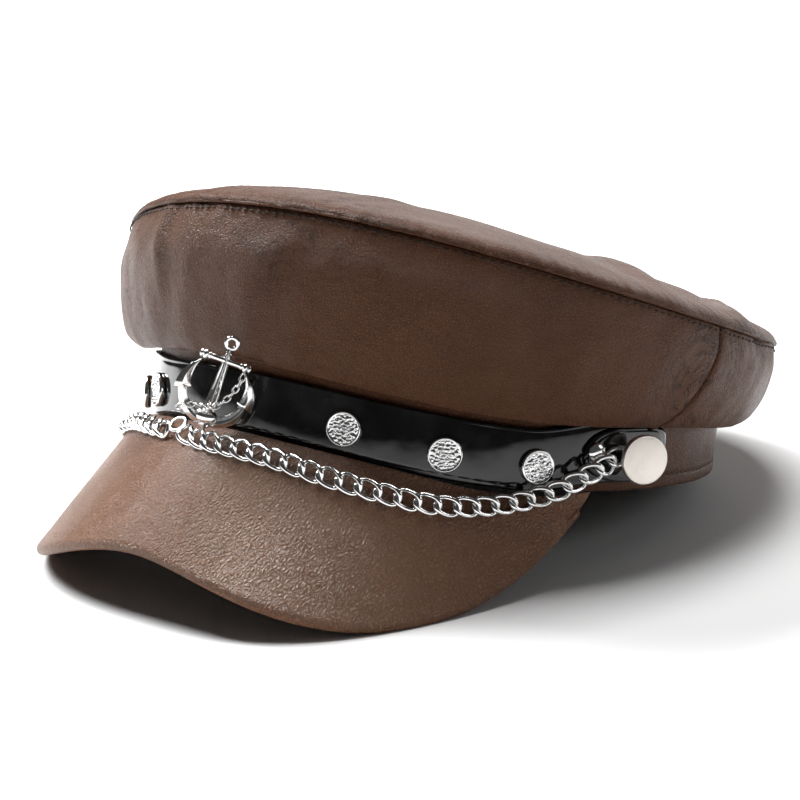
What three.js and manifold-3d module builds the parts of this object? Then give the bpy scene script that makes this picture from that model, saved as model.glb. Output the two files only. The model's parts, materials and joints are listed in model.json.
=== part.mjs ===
// Sailor-style visor cap in imitation leather, resting on its visor and the back of its head band.
// Units: millimetres. The cap is drawn upright in its own frame (front -Y, wearer's left +X, head band
// rim on z = 0) and then tipped back into the pose it takes when it is laid down.
import * as THREE from 'three';
import Module from 'manifold-3d';

const wasm = await Module();
wasm.setup();
const { Manifold } = wasm;

// ---------------------------------------------------------------- driving dimensions
const GAP = 0.3;                  // air left between neighbouring pieces

const BAND_HALF_DEPTH = 97;       // outside of the head band, front to back
const BAND_HALF_WIDTH = 89;       // outside of the head band, side to side
const BAND_THICKNESS = 2.6;
const BAND_HEIGHT_SIDE = 27;      // rim to top edge at the sides
const BAND_HEIGHT_BACK = 25;
const ARCH_LIFT = 9.5;            // how far the front of the band arches up over the visor
const SWEAT_THICKNESS = 1.0;
const SWEAT_HEIGHT = 25;

const STRAP_HEIGHT = 19.5;
const STRAP_THICKNESS = 1.7;
const STRAP_END = 89;             // degrees from the front
const STRAP_SIDE_RISE = 4;        // the strap climbs this much behind the visor ends
const TAB_START = 72;
const TAB_END = 91.5;
const TAB_HEIGHT = 18;
const TAB_THICKNESS = 1.6;

const CROWN_HALF_DEPTH = 111;     // top seam oval
const CROWN_HALF_WIDTH = 104;
const CROWN_SHIFT = 3;            // the top seam oval sits this far behind the band oval
const CROWN_FRONT_Z = 79;         // top seam heights
const CROWN_SIDE_Z = 48;
const CROWN_BACK_Z = 35;
const CROWN_LEAN = 7;             // the soft crown slumps this much towards the wearer's right
const DOME_RISE = 15;             // how far the top panel bulges over its seam
const LEATHER = 1.4;              // crown leather thickness
const SAG_FRONT_Z = 31;           // lowest fold of the crown wall
const SAG_SIDE_Z = 20;
const SAG_BACK_Z = 13;
const SAG_OUT_FRONT = 6;          // how far that fold stands off the band
const SAG_OUT_BACK = 12;
const BACK_SEAM_LOW = 82;         // back seam of the wall, degrees from the front
const BACK_SEAM_HIGH = 94;
const LINING_THICKNESS = 0.8;
const LINING_INSET = 5;

const VISOR_SLOPE = 44.6;         // degrees below the horizontal at the centre line
const VISOR_RADIUS = 95;          // the board is bent round a cylinder of this radius
const VISOR_ROOT_Z = 9;
const VISOR_ROOT_END = 73;        // degrees from the front
const VISOR_REACH = 134;          // front edge, distance from the cap's middle
const VISOR_HALF_WIDTH = 86.8;
const VISOR_BACK = 26.8;          // where its ends meet the band, distance before the middle
const VISOR_LENGTH_POWER = 2.2;   // squareness of the front outline
const VISOR_WIDTH_POWER = 3;
const VISOR_THICKNESS = 4.4;
const VISOR_COVER = 1.2;
const VISOR_BOARD = 1.4;

const STUD_DIAMETER = 10.9;
const STUD_HEIGHT = 1.9;
const STUD_ANGLES = [26.2, 45, 62.3];
const STUD_ABOVE_EDGE = [9.2, 7.9, 8.0];

const RIVET_ANGLE = 73.8;
const RIVET_DIAMETER = 6.2;
const RIVET_HEIGHT = 1.8;
const BUTTON_ANGLE = 82.3;
const BUTTON_Z = 11.8;
const BUTTON_DIAMETER = 15.6;
const BUTTON_THICKNESS = 2.4;
const BUTTON_STANDOFF = 6.2;      // tab face to the back of the disc
const BUTTON_TURN = 16;           // its post leans towards the front, in degrees
const POST_DIAMETER = 3.2;

const ANCHOR_HEIGHT = 28;         // crown of the arms to the top of the shank
const ANCHOR_TILT = 14;           // degrees, eye leaning to the wearer's left
const ANCHOR_Z = 25;              // centre of the badge
const ANCHOR_STOCK = 15;
const ANCHOR_SPREAD = 24;         // fluke to fluke
const ANCHOR_OUT = 7;              // middle of the badge off the band
const ANCHOR_LEAN = 13;            // its top stands out over the fold of the crown
const TETHER_WIRE = 0.8;

const JUMP_RING_ANGLE = -9;       // where the chain is hooked up, degrees from the front
const JUMP_RING_Z = 8.3;
const JUMP_RING_OUT = 9;
const JUMP_RING_RADIUS = 2.7;
const JUMP_RING_WIRE = 0.55;
const CHAIN_WIDTH = 6.4;
const CHAIN_DEPTH = 2.8;
const CHAIN_PITCH = 6.5;
const CHAIN_END = 79;             // degrees from the front, just before the button post
const CHAIN_END_Z = 13.2;
const CHAIN_LOW_Z = -4.2;         // lowest point of each swag

// ---------------------------------------------------------------- materials and mesh helpers
const TINT = {
  leather: 0x5b3f2e, inside: 0x6b4a36, patent: 0x0d0d0f, lining: 0x2b2622,
  board: 0x8a7f70, metal: 0xb9bbbd,
};
const V = (x, y, z) => new THREE.Vector3(x, y, z);
const rad = THREE.MathUtils.degToRad;
const cosd = (t) => Math.cos(rad(t));
const sind = (t) => Math.sin(rad(t));
const mix = THREE.MathUtils.lerp;
const smooth = THREE.MathUtils.smoothstep;

function piece(name, geometry, tint) {
  const metal = tint === TINT.metal;
  const material = new THREE.MeshStandardMaterial({
    color: tint, roughness: metal ? 0.3 : 0.6, metalness: metal ? 1 : 0,
  });
  const mesh = new THREE.Mesh(geometry, material);
  mesh.name = name;
  return mesh;
}

// A closed body from points and triangles, wound so that it faces outwards.
function body(points, faces) {
  let volume = 0;
  for (const [a, b, c] of faces) {
    volume += points[a].dot(V(0, 0, 0).crossVectors(points[b], points[c]));
  }
  const index = faces.flatMap(([a, b, c]) => (volume < 0 ? [a, c, b] : [a, b, c]));
  const geometry = new THREE.BufferGeometry();
  geometry.setAttribute('position',
    new THREE.Float32BufferAttribute(points.flatMap((p) => [p.x, p.y, p.z]), 3));
  geometry.setIndex(index);
  geometry.computeVertexNormals();
  return geometry;
}

// Loops of equally many points joined one to the next; the ends are capped unless the row closes.
function loft(loops, closed = false) {
  const n = loops[0].length;
  const points = loops.flat();
  const faces = [];
  const count = closed ? loops.length : loops.length - 1;
  for (let i = 0; i < count; i += 1) {
    const a = i * n;
    const b = ((i + 1) % loops.length) * n;
    for (let k = 0; k < n; k += 1) {
      const m = (k + 1) % n;
      faces.push([a + k, a + m, b + m], [a + k, b + m, b + k]);
    }
  }
  if (!closed) {
    for (const [start, flip] of [[0, true], [(loops.length - 1) * n, false]]) {
      for (let k = 0; k < n / 2 - 1; k += 1) {
        const q = [start + k, start + k + 1, start + n - 2 - k, start + n - 1 - k];
        const tris = q[1] === q[2] ? [[q[0], q[1], q[3]]]
          : [[q[0], q[1], q[2]], [q[0], q[2], q[3]]];
        faces.push(...(flip ? tris.map(([x, y, z]) => [x, z, y]) : tris));
      }
    }
  }
  return body(points, faces);
}

// Leather sheet: a grid of points rows[u][v] thickened inwards along its own normals.
function thicken(rows, thickness, closed = false) {
  const nu = rows.length;
  const nv = rows[0].length;
  const at = (u, v) => rows[closed ? (u + nu) % nu : THREE.MathUtils.clamp(u, 0, nu - 1)][
    THREE.MathUtils.clamp(v, 0, nv - 1)];
  const loops = rows.map((row, u) => {
    const inner = row.map((p, v) => {
      const du = at(u + 1, v).clone().sub(at(u - 1, v));
      const dv = at(u, v + 1).clone().sub(at(u, v - 1));
      return p.clone().addScaledVector(du.cross(dv).normalize(), -thickness);
    });
    return [...row, ...inner.reverse()];
  });
  return loft(loops, closed);
}

// ---------------------------------------------------------------- the head oval and what follows it
function onBand(t, out, z) {
  return V((BAND_HALF_WIDTH + out) * sind(t), -(BAND_HALF_DEPTH + out) * cosd(t), z);
}

function bandNormal(t) {
  return V(sind(t) / BAND_HALF_WIDTH, -cosd(t) / BAND_HALF_DEPTH, 0).normalize();
}

// Same place on the band, as a frame: x along the band (to the wearer's right when in front), y
// outwards, z up.
function bandFrame(t, out, z, tilt = 0) {
  const y = bandNormal(t);
  const x = V(0, 0, 0).crossVectors(y, V(0, 0, 1)).normalize();
  const m = new THREE.Matrix4().makeBasis(x, y, V(0, 0, 1));
  m.setPosition(onBand(t, out, z));
  return m.multiply(new THREE.Matrix4().makeRotationY(rad(-tilt)));
}

const frontOf = (t) => Math.max(0, cosd(t));
const arch = (t) => ARCH_LIFT * frontOf(t) ** 3;

function strapEdge(t) {
  return arch(t) - 1 + STRAP_SIDE_RISE * smooth(Math.abs(t), 60, 78);
}

function bandTop(t) {
  const low = mix(BAND_HEIGHT_SIDE, BAND_HEIGHT_BACK, Math.max(0, -cosd(t)));
  return low + arch(t);
}

function sweep(t0, t1, steps, section) {
  const closed = t1 - t0 >= 360;
  const loops = [];
  for (let i = 0; i < steps + (closed ? 0 : 1); i += 1) {
    const t = t0 + ((t1 - t0) * i) / steps;
    loops.push(section(t).map(([out, z]) => onBand(t, out, z)));
  }
  return loft(loops, closed);
}

// Strap-like section between two heights with softened edges.
function softSection(inner, outer, low, high) {
  const c = Math.min(0.5, (high - low) / 4);
  return [[inner, low], [outer - c, low], [outer, low + c], [outer, high - c],
    [outer - c, high], [inner, high]];
}

function headBand() {
  return sweep(0, 360, 72, (t) => softSection(-BAND_THICKNESS, 0, bandRim(t), bandTop(t)));
}

// Flat on z = 0 all round the back; in front it clears the root of the visor.
function bandRim(t) {
  return arch(t) * (1 - smooth(Math.abs(t > 180 ? t - 360 : t), VISOR_ROOT_END, 76));
}

function sweatBand() {
  const outer = -BAND_THICKNESS - GAP;
  return sweep(0, 360, 48, (t) => {
    const low = bandRim(t) + 1.2;
    const high = low + SWEAT_HEIGHT - 2;
    return [[outer - SWEAT_THICKNESS, low], [outer, low], [outer, high], [outer - SWEAT_THICKNESS, high]];
  });
}

function strap() {
  return sweep(-STRAP_END, STRAP_END, 54, (t) => {
    const low = strapEdge(t);
    return softSection(GAP, GAP + STRAP_THICKNESS, low, low + STRAP_HEIGHT);
  });
}

const TAB_BACK = STRAP_THICKNESS + 2 * GAP;
const TAB_FACE = TAB_BACK + TAB_THICKNESS;

// End piece of the strap: rounded towards the front, cut square behind the button.
function strapTab(side) {
  const round = 6;
  const height = (t) => {
    const d = Math.max(0, 1 - (t - TAB_START) / round);
    return TAB_HEIGHT * Math.max(0.35, Math.sqrt(Math.max(0, 1 - d * d)));
  };
  const loops = [];
  for (let i = 0; i <= 24; i += 1) {
    const t = mix(TAB_START, TAB_END, (i / 24) ** 1.3);
    const middle = BUTTON_Z + 0.5;
    const h = height(t);
    loops.push(softSection(TAB_BACK, TAB_FACE, middle - h / 2, middle + h / 2)
      .map(([out, z]) => onBand(side * t, out, z)));
  }
  return loft(loops);
}

// ---------------------------------------------------------------- crown
function seamHeight(t) {
  const c = cosd(t);
  const ends = (CROWN_FRONT_Z + CROWN_BACK_Z) / 2 - CROWN_SIDE_Z;
  return CROWN_SIDE_Z + (CROWN_FRONT_Z - CROWN_BACK_Z) / 2 * c + ends * c * c
    + CROWN_LEAN * sind(t);
}

function topSeam(t, grow = 0) {
  return V((CROWN_HALF_WIDTH + grow) * sind(t),
    CROWN_SHIFT - (CROWN_HALF_DEPTH + grow) * cosd(t), seamHeight(t));
}

function sagHeight(t) {
  return mix(SAG_SIDE_Z, SAG_BACK_Z, Math.max(0, -cosd(t)))
    + (SAG_FRONT_Z - SAG_SIDE_Z) * frontOf(t) ** 3;
}

// Wall of the crown from the band (v = 0) down into the fold and up to the top seam (v = 1).
function wallPoint(t, v) {
  const back = (1 - cosd(t)) / 2;
  const out = mix(SAG_OUT_FRONT, SAG_OUT_BACK, back);
  const sag = sagHeight(t);
  const seam = topSeam(t);
  const belly = topSeam(t, mix(2.5, -1.5, back));
  const knots = [
    onBand(t, GAP + LEATHER + 0.2, bandTop(t) - 1),
    onBand(t, out * 0.5, sag + 0.6),
    onBand(t, out, sag + 5),
    V(belly.x, belly.y, mix(sag, seam.z, 0.68)),
    V(seam.x, seam.y, seam.z - GAP),
  ];
  return new THREE.CatmullRomCurve3(knots, false, 'centripetal').getPoint(v);
}

const backSeam = (v) => mix(BACK_SEAM_LOW, BACK_SEAM_HIGH, Math.sin((v * Math.PI) / 2));

function wallPanel(startOf, endOf, steps) {
  const rows = [];
  for (let i = 0; i <= steps; i += 1) {
    const row = [];
    for (let j = 0; j <= WALL_RINGS; j += 1) {
      const v = j / WALL_RINGS;
      row.push(wallPoint(mix(startOf(v), endOf(v), i / steps), v));
    }
    rows.push(row);
  }
  return thicken(rows, LEATHER);
}

const SEAM_GAP = 0.1;             // degrees left open at the back seams
const WALL_RINGS = 9;

function frontPanel() {
  return wallPanel((v) => SEAM_GAP - backSeam(v), (v) => backSeam(v) - SEAM_GAP, 42);
}

function rearPanel() {
  return wallPanel((v) => backSeam(v) + SEAM_GAP, (v) => 360 - backSeam(v) - SEAM_GAP, 34);
}

function domePoint(t, r, rise) {
  const rim = topSeam(t, 0.4);
  const middleZ = (seamHeight(0) + seamHeight(180)) / 2;
  const flatZ = middleZ + (rim.z - middleZ) * r;
  return V(rim.x * r, CROWN_SHIFT + (rim.y - CROWN_SHIFT) * r,
    flatZ + rise * (1 - r ** 2) ** 0.65);
}

// Round sheet made of rings about a middle point.
function disc(point, thickness, steps, rings) {
  const loops = [];
  for (let j = 1; j <= rings; j += 1) {
    loops.push(Array.from({ length: steps }, (_, i) => point((360 * i) / steps, j / rings)));
  }
  const down = V(0, 0, -thickness);
  const top = [point(0, 0), ...loops.flat()];
  const points = [...top, ...top.map((p) => p.clone().add(down))];
  const half = top.length;
  const faces = [];
  const id = (j, i) => 1 + j * steps + (i % steps);
  for (let i = 0; i < steps; i += 1) {
    const fan = [0, id(0, i), id(0, i + 1)];
    const skins = [fan];
    for (let j = 0; j + 1 < rings; j += 1) {
      skins.push([id(j, i), id(j + 1, i), id(j + 1, i + 1)], [id(j, i), id(j + 1, i + 1), id(j, i + 1)]);
    }
    for (const [a, b, c] of skins) faces.push([a, b, c], [a + half, c + half, b + half]);
    const [p, q] = [id(rings - 1, i), id(rings - 1, i + 1)];
    faces.push([p, p + half, q + half], [p, q + half, q]);
  }
  return body(points, faces);
}

function topPanel() {
  return disc((t, r) => domePoint(t, r, DOME_RISE).add(V(0, 0, LEATHER)), LEATHER, 48, 6);
}

function liningTop() {
  return disc((t, r) => domePoint(t, r * 0.9, DOME_RISE).add(V(0, 0, -LINING_INSET)),
    LINING_THICKNESS, 36, 3);
}

// Side lining: hangs inside the wall from the edge of the lining disc to the top of the band.
function liningSide() {
  const rows = [];
  for (let i = 0; i < 48; i += 1) {
    const t = (360 * i) / 48;
    const low = onBand(t, -BAND_THICKNESS - 0.5, bandTop(t) + 2);
    const high = domePoint(t, 0.9, DOME_RISE).add(V(0, 0, -LINING_INSET - 2.2));
    rows.push([0, 0.5, 1].map((v) => {
      const p = low.clone().lerp(high, v);
      const swell = 1 + 0.03 * Math.sin(Math.PI * v);
      return V(p.x * swell, p.y * swell, p.z);
    }));
  }
  return thicken(rows, LINING_THICKNESS, true);
}

// ---------------------------------------------------------------- visor
function visorZ(x, y) {
  const inside = Math.max(0, VISOR_RADIUS ** 2 - x * x);
  const drop = VISOR_RADIUS - Math.sqrt(inside);
  return VISOR_ROOT_Z + (BAND_HALF_DEPTH + 2 + y) * Math.tan(rad(VISOR_SLOPE))
    - drop / cosd(VISOR_SLOPE);
}

function visorEdge(u) {
  const across = sind(88 * Math.abs(u));
  const ahead = (1 - across ** VISOR_WIDTH_POWER) ** (1 / VISOR_LENGTH_POWER);
  return [Math.sign(u) * VISOR_HALF_WIDTH * across,
    -VISOR_BACK - (VISOR_REACH - VISOR_BACK) * ahead];
}

// Middle surface of the visor: u runs along it (-1 to 1), v from the band (0) to the edge (1).
function visorMiddle(u, v) {
  const root = onBand(u * VISOR_ROOT_END, 2.8, 0);
  const [ex, ey] = visorEdge(u);
  const x = mix(root.x, ex, v);
  const y = mix(root.y, ey, v);
  return V(x, y, visorZ(x, y));
}

function visorNormal(u, v) {
  const e = 0.004;
  const du = visorMiddle(u + e, v).sub(visorMiddle(u - e, v));
  const dv = visorMiddle(u, v + e).sub(visorMiddle(u, v - e));
  const n = du.cross(dv).normalize();
  return n.z < 0 ? n.negate() : n;
}

const visorOffset = (u, v, h) => visorMiddle(u, v).addScaledVector(visorNormal(u, v), h);
const VISOR_STEPS = 36;

// Layer of the visor between two heights over its middle surface and two places along v.
function visorLayer(low, high, v0, v1, reach = 0.995) {
  const loops = [];
  for (let i = 0; i <= VISOR_STEPS; i += 1) {
    const u = reach * mix(-1, 1, i / VISOR_STEPS);
    const across = [0, 0.33, 0.67, 1].map((k) => mix(v0, v1(u), k));
    loops.push([...across.map((v) => visorOffset(u, v, high)),
      ...across.reverse().map((v) => visorOffset(u, v, low))]);
  }
  return loft(loops);
}

// How much of v a strip of the given width takes up at u.
function visorStrip(u, width) {
  const length = visorMiddle(u, 0).distanceTo(visorMiddle(u, 1));
  return Math.min(0.45, width / length);
}

// The upper leather is rolled round the edge and turned in below.
function visorTopCover() {
  const half = VISOR_THICKNESS / 2;
  const skin = (u, radius) => {
    const flat = [0, 0.25, 0.5, 0.75, 1].map((v) => visorOffset(u, v, radius));
    const edge = visorMiddle(u, 1);
    const n = visorNormal(u, 1);
    const out = edge.clone().sub(visorMiddle(u, 0.97)).normalize();
    const roll = [45, 90, 135].map((a) => edge.clone()
      .addScaledVector(out, radius * sind(a)).addScaledVector(n, radius * cosd(a)));
    const turn = [1, 1 - visorStrip(u, 3)].map((v) => visorOffset(u, v, -radius));
    return [...flat, ...roll, ...turn];
  };
  const loops = [];
  for (let i = 0; i <= VISOR_STEPS; i += 1) {
    const u = mix(-1, 1, i / VISOR_STEPS);
    loops.push([...skin(u, half), ...skin(u, half - VISOR_COVER).reverse()]);
  }
  return loft(loops);
}

function visorBoard() {
  return visorLayer(-VISOR_BOARD / 2, VISOR_BOARD / 2, 0, () => 0.97, 0.98);
}

function visorUnderCover() {
  const top = VISOR_BOARD / 2 + GAP;
  return visorLayer(-VISOR_THICKNESS / 2, -top, 0, (u) => 1 - visorStrip(u, 3.6));
}

// ---------------------------------------------------------------- trim
function lathe(profile, sides) {
  const loops = profile.map(([r, y]) => Array.from({ length: sides }, (_, i) => {
    const a = (2 * Math.PI * i) / sides;
    return V(r * Math.cos(a), y, r * Math.sin(a));
  }));
  return loft(loops);
}

const placed = (geometry, matrix) => geometry.applyMatrix4(matrix);

// Low domed disc standing on the strap, with a raised rim.
function stud(t, rise) {
  const r = STUD_DIAMETER / 2;
  const h = STUD_HEIGHT;
  const shape = lathe([[r * 0.9, 0], [r, h * 0.35], [r * 0.97, h * 0.8], [r * 0.84, h],
    [r * 0.7, h * 0.8], [r * 0.3, h * 0.9]], 16);
  return placed(shape, bandFrame(t, GAP + STRAP_THICKNESS + GAP * 0.6, strapEdge(t) + rise));
}

function tabRivet(side) {
  const r = RIVET_DIAMETER / 2;
  const h = RIVET_HEIGHT;
  const shape = lathe([[r * 0.92, 0], [r, h * 0.25], [r * 0.85, h * 0.65], [r * 0.5, h * 0.93],
    [r * 0.15, h]], 14);
  return placed(shape, bandFrame(side * RIVET_ANGLE, TAB_FACE + GAP * 0.6, BUTTON_Z + 1.2));
}

// Foot of the post on the tab; y runs along the post.
function buttonFrame(side) {
  return bandFrame(side * BUTTON_ANGLE, TAB_FACE + GAP * 0.6, BUTTON_Z)
    .multiply(new THREE.Matrix4().makeRotationZ(-side * rad(BUTTON_TURN)));
}

// The disc turns on a post standing on the tab; the chain ends loop round the post.
function buttonPost(side) {
  const r = POST_DIAMETER / 2;
  const shape = lathe([[r * 0.85, 0.5], [r, 0.9], [r, BUTTON_STANDOFF + 0.8]], 12);
  return placed(shape, buttonFrame(side));
}

function sideButton(side) {
  const r = BUTTON_DIAMETER / 2;
  const bore = POST_DIAMETER / 2 + GAP;
  const y0 = BUTTON_STANDOFF;
  const y1 = y0 + BUTTON_THICKNESS;
  const shape = lathe([[0.2, y0 + 1.2], [bore, y0 + 1.2], [bore, y0], [r * 0.93, y0],
    [r, y0 + 0.7], [r * 0.96, y1 - 0.7], [r * 0.6, y1 - 0.15], [0.2, y1]], 24);
  return placed(shape, buttonFrame(side));
}

function fromManifold(solid) {
  const mesh = solid.getMesh();
  const points = [];
  for (let i = 0; i < mesh.vertProperties.length; i += mesh.numProp) {
    points.push(V(...mesh.vertProperties.slice(i, i + 3)));
  }
  const faces = [];
  for (let i = 0; i < mesh.triVerts.length; i += 3) faces.push([...mesh.triVerts.slice(i, i + 3)]);
  return body(points, faces);
}

function ringSolid(radius, wire, segments = 16) {
  const circle = Array.from({ length: 6 }, (_, i) => [
    radius + wire * Math.cos((i * Math.PI) / 3), wire * Math.sin((i * Math.PI) / 3)]);
  return Manifold.revolve([circle], segments);
}

// Badge seen from the front: x to the wearer's left, z up, y towards the onlooker.
function anchor() {
  const half = ANCHOR_HEIGHT / 2;
  const rod = (length, r0, r1, sides = 8) => Manifold.cylinder(length, r0, r1, sides, true);
  const shank = rod(ANCHOR_HEIGHT - 2, 2.0, 1.3, 6);
  const stockZ = half - 4;
  const stock = rod(ANCHOR_STOCK, 0.95, 0.95).rotate([0, 90, 0]).translate([0, 0, stockZ]);
  const knobs = [-1, 1].map((s) => Manifold.sphere(1.5, 8)
    .translate([s * (ANCHOR_STOCK / 2 - 0.6), 0, stockZ]));
  const eye = ringSolid(2.0, 0.62).rotate([90, 0, 0]).translate([0, 0, half + 1.2]);
  const parts = [shank, stock, ...knobs, eye];
  const spread = ANCHOR_SPREAD / 2;
  for (const s of [-1, 1]) {
    let previous = [0, -half + 1.2];
    for (const k of [0.25, 0.5, 0.75, 1]) {
      const next = [s * spread * 0.86 * k, -half + 1.2 + 8.6 * k ** 1.9];
      parts.push(barBetween(previous, next, 1.9 - 0.5 * k));
      previous = next;
    }
    const palm = [[spread * 0.42, -half + 9.6], [spread * 1.02, -half + 7.6], [spread * 0.72, -half + 15.6]];
    const outline = palm.map(([x, z]) => [s * x, z]);
    if (s < 0) outline.reverse();
    parts.push(Manifold.extrude([outline], 2.2, 0, 0, [1, 1], true).rotate([90, 0, 0]));
  }
  parts.push(rod(4, 0.4, 2.1, 6).translate([0, 0, -half - 0.2]));
  const solid = Manifold.union(parts);
  return placed(fromManifold(solid), anchorFrame());
}

function anchorFrame() {
  return bandFrame(0, ANCHOR_OUT, ANCHOR_Z, ANCHOR_TILT)
    .multiply(new THREE.Matrix4().makeRotationX(-rad(ANCHOR_LEAN)));
}

// Fine chain of the badge, draped from the stock round the foot of the shank; its links are joined.
function anchorTether() {
  const front = 2.4 + TETHER_WIRE;
  const curve = new THREE.CatmullRomCurve3([[-7, 9.4], [-5.6, 4], [-2.6, -2.5], [1.6, -6.6], [5.2, -5.4],
    [8, -2.8]].map(([x, z]) => V(x, front, z)));
  const loops = [];
  for (let i = 0; i <= 16; i += 1) {
    const p = curve.getPointAt(i / 16);
    const along = curve.getTangentAt(i / 16);
    const across = V(0, 0, 0).crossVectors(along, V(0, 1, 0)).normalize();
    const r = TETHER_WIRE * (i % 2 === 0 ? 0.75 : 1);
    loops.push(Array.from({ length: 6 }, (_, k) => p.clone()
      .addScaledVector(across, r * Math.cos((k * Math.PI) / 3))
      .add(V(0, r * Math.sin((k * Math.PI) / 3), 0))));
  }
  return placed(loft(loops), anchorFrame());
}

function barBetween([x0, z0], [x1, z1], r) {
  const length = Math.hypot(x1 - x0, z1 - z0);
  const angle = THREE.MathUtils.radToDeg(Math.atan2(x1 - x0, z1 - z0));
  return Manifold.cylinder(length + r, r, r, 6, true)
    .rotate([0, angle, 0]).translate([(x0 + x1) / 2, 0, (z0 + z1) / 2]);
}

function jumpRing() {
  const shape = fromManifold(ringSolid(JUMP_RING_RADIUS, JUMP_RING_WIRE, 16)
    .rotate([-VISOR_SLOPE, 0, 0]));
  return placed(shape, bandFrame(JUMP_RING_ANGLE, JUMP_RING_OUT, JUMP_RING_Z));
}

// How far off the band the chain lies when it rests on the visor at this height.
function chainOut(t, z) {
  const clear = VISOR_THICKNESS / 2 + CHAIN_DEPTH / 2 + GAP + 0.2;
  const least = TAB_FACE + CHAIN_DEPTH / 2 + 0.5
    + (RIVET_HEIGHT + 0.6) * smooth(Math.abs(t), 57, 67) * (1 - smooth(Math.abs(t), 75, 77.5));
  for (let out = least; out < 16; out += 0.1) {
    const p = onBand(t, out, z);
    const q = onBand(t, out + 0.5, z);
    const slope = (visorZ(p.x, p.y) - visorZ(q.x, q.y)) / 0.5;
    if (Math.abs(t) > VISOR_ROOT_END + 2 || z - visorZ(p.x, p.y) > clear * Math.hypot(1, slope)) return out;
  }
  return 16;
}

// Middle line of one swag, from the jump ring down over the visor and up to the side button.
function swagLine(side) {
  const start = JUMP_RING_ANGLE + side * 2.4;
  const heights = [[0, JUMP_RING_Z - 2], [0.24, mix(JUMP_RING_Z - 2, CHAIN_LOW_Z, 0.16)],
    [0.42, mix(JUMP_RING_Z - 2, CHAIN_LOW_Z, 0.6)], [0.62, CHAIN_LOW_Z],
    [0.8, mix(CHAIN_LOW_Z, CHAIN_END_Z, 0.2)], [0.91, mix(CHAIN_LOW_Z, CHAIN_END_Z, 0.64)],
    [1, CHAIN_END_Z]];
  const profile = new THREE.CatmullRomCurve3(heights.map(([s, z]) => V(s * 100, 0, z)));
  return Array.from({ length: 19 }, (_, i) => {
    const p = profile.getPoint(i / 18);
    const t = mix(start, side * CHAIN_END, THREE.MathUtils.clamp(p.x / 100, 0, 1));
    return onBand(t, chainOut(t, p.z), p.z);
  });
}

// Swag of curb chain as one scalloped run; its links are joined.
function swag(side) {
  const curve = new THREE.CatmullRomCurve3(swagLine(side), false, 'centripetal');
  const links = Math.round(curve.getLength() / CHAIN_PITCH);
  const loops = [];
  for (let i = 0; i <= links * 2; i += 1) {
    const p = curve.getPointAt(i / (links * 2));
    const along = curve.getTangentAt(i / (links * 2));
    const out = bandNormal(Math.atan2(p.x, -p.y) * 180 / Math.PI).add(V(0, 0, 0.5));
    const across = V(0, 0, 0).crossVectors(along, out).normalize();
    const depth = V(0, 0, 0).crossVectors(across, along).normalize();
    const narrow = i % 2 === 0 ? 0.7 : 1;
    loops.push(Array.from({ length: 6 }, (_, k) => {
      const a = (k * Math.PI) / 3;
      return p.clone().addScaledVector(across, Math.cos(a) * CHAIN_WIDTH / 2 * narrow)
        .addScaledVector(depth, Math.sin(a) * CHAIN_DEPTH / 2);
    }));
  }
  return loft(loops);
}

// ---------------------------------------------------------------- assembly
function upright() {
  const cap = new THREE.Group();
  const add = (name, geometry, tint) => cap.add(piece(name, geometry, tint));
  add('crown_top_panel', topPanel(), TINT.leather);
  add('crown_front_panel', frontPanel(), TINT.leather);
  add('crown_rear_panel', rearPanel(), TINT.leather);
  add('head_band', headBand(), TINT.leather);
  add('sweatband', sweatBand(), TINT.inside);
  add('lining_top', liningTop(), TINT.lining);
  add('lining_side', liningSide(), TINT.lining);
  add('visor_top_cover', visorTopCover(), TINT.leather);
  add('visor_board', visorBoard(), TINT.board);
  add('visor_under_cover', visorUnderCover(), TINT.inside);
  add('strap', strap(), TINT.patent);
  add('anchor', anchor(), TINT.metal);
  add('anchor_tether', anchorTether(), TINT.metal);
  add('jump_ring', jumpRing(), TINT.metal);
  for (const [side, word] of [[1, 'left'], [-1, 'right']]) {
    add(`strap_tab_${word}`, strapTab(side), TINT.patent);
    STUD_ANGLES.forEach((t, i) => add(`stud_${word}_${i + 1}`, stud(side * t, STUD_ABOVE_EDGE[i]), TINT.metal));
    add(`tab_rivet_${word}`, tabRivet(side), TINT.metal);
    add(`button_post_${word}`, buttonPost(side), TINT.metal);
    add(`side_button_${word}`, sideButton(side), TINT.metal);
    add(`chain_${word}`, swag(side), TINT.metal);
  }
  return cap;
}

// Angle at which the visor and the back of the band touch the table together.
function restPitch(cap) {
  const points = [];
  for (const mesh of cap.children) {
    const p = mesh.geometry.attributes.position;
    for (let i = 0; i < p.count; i += 1) points.push([p.getY(i), p.getZ(i)]);
  }
  let [low, high] = [0, 40];
  for (let i = 0; i < 40; i += 1) {
    const angle = (low + high) / 2;
    const lowest = (sign) => Math.min(...points.filter(([y]) => y * sign > 0)
      .map(([y, z]) => z * cosd(angle) - y * sind(angle)));
    if (lowest(-1) < lowest(1)) low = angle; else high = angle;
  }
  return (low + high) / 2;
}

function laidDown(cap) {
  cap.rotation.x = -rad(restPitch(cap));
  cap.updateMatrixWorld(true);
  const box = new THREE.Box3().setFromObject(cap, true);
  cap.position.set(-(box.min.x + box.max.x) / 2, -(box.min.y + box.max.y) / 2, -box.min.z);
  const row = new THREE.Group();
  row.name = 'visor_cap';
  row.add(cap);
  return row;
}

export default laidDown(upright());
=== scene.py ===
"""A soft captain's cap in grained brown leather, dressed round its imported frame.

Every piece is modelled in the cap's own frame in millimetres: x to the wearer's
left, y to the back, z up, with the rim of the head band at z = 0. One last
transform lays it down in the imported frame, in metres.
"""

from __future__ import annotations

import json
import logging
import math
from collections.abc import Callable, Sequence
from dataclasses import dataclass, field
from enum import Enum
from functools import cache

import bmesh
import bpy
from mathutils import Matrix, Vector, noise


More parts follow.
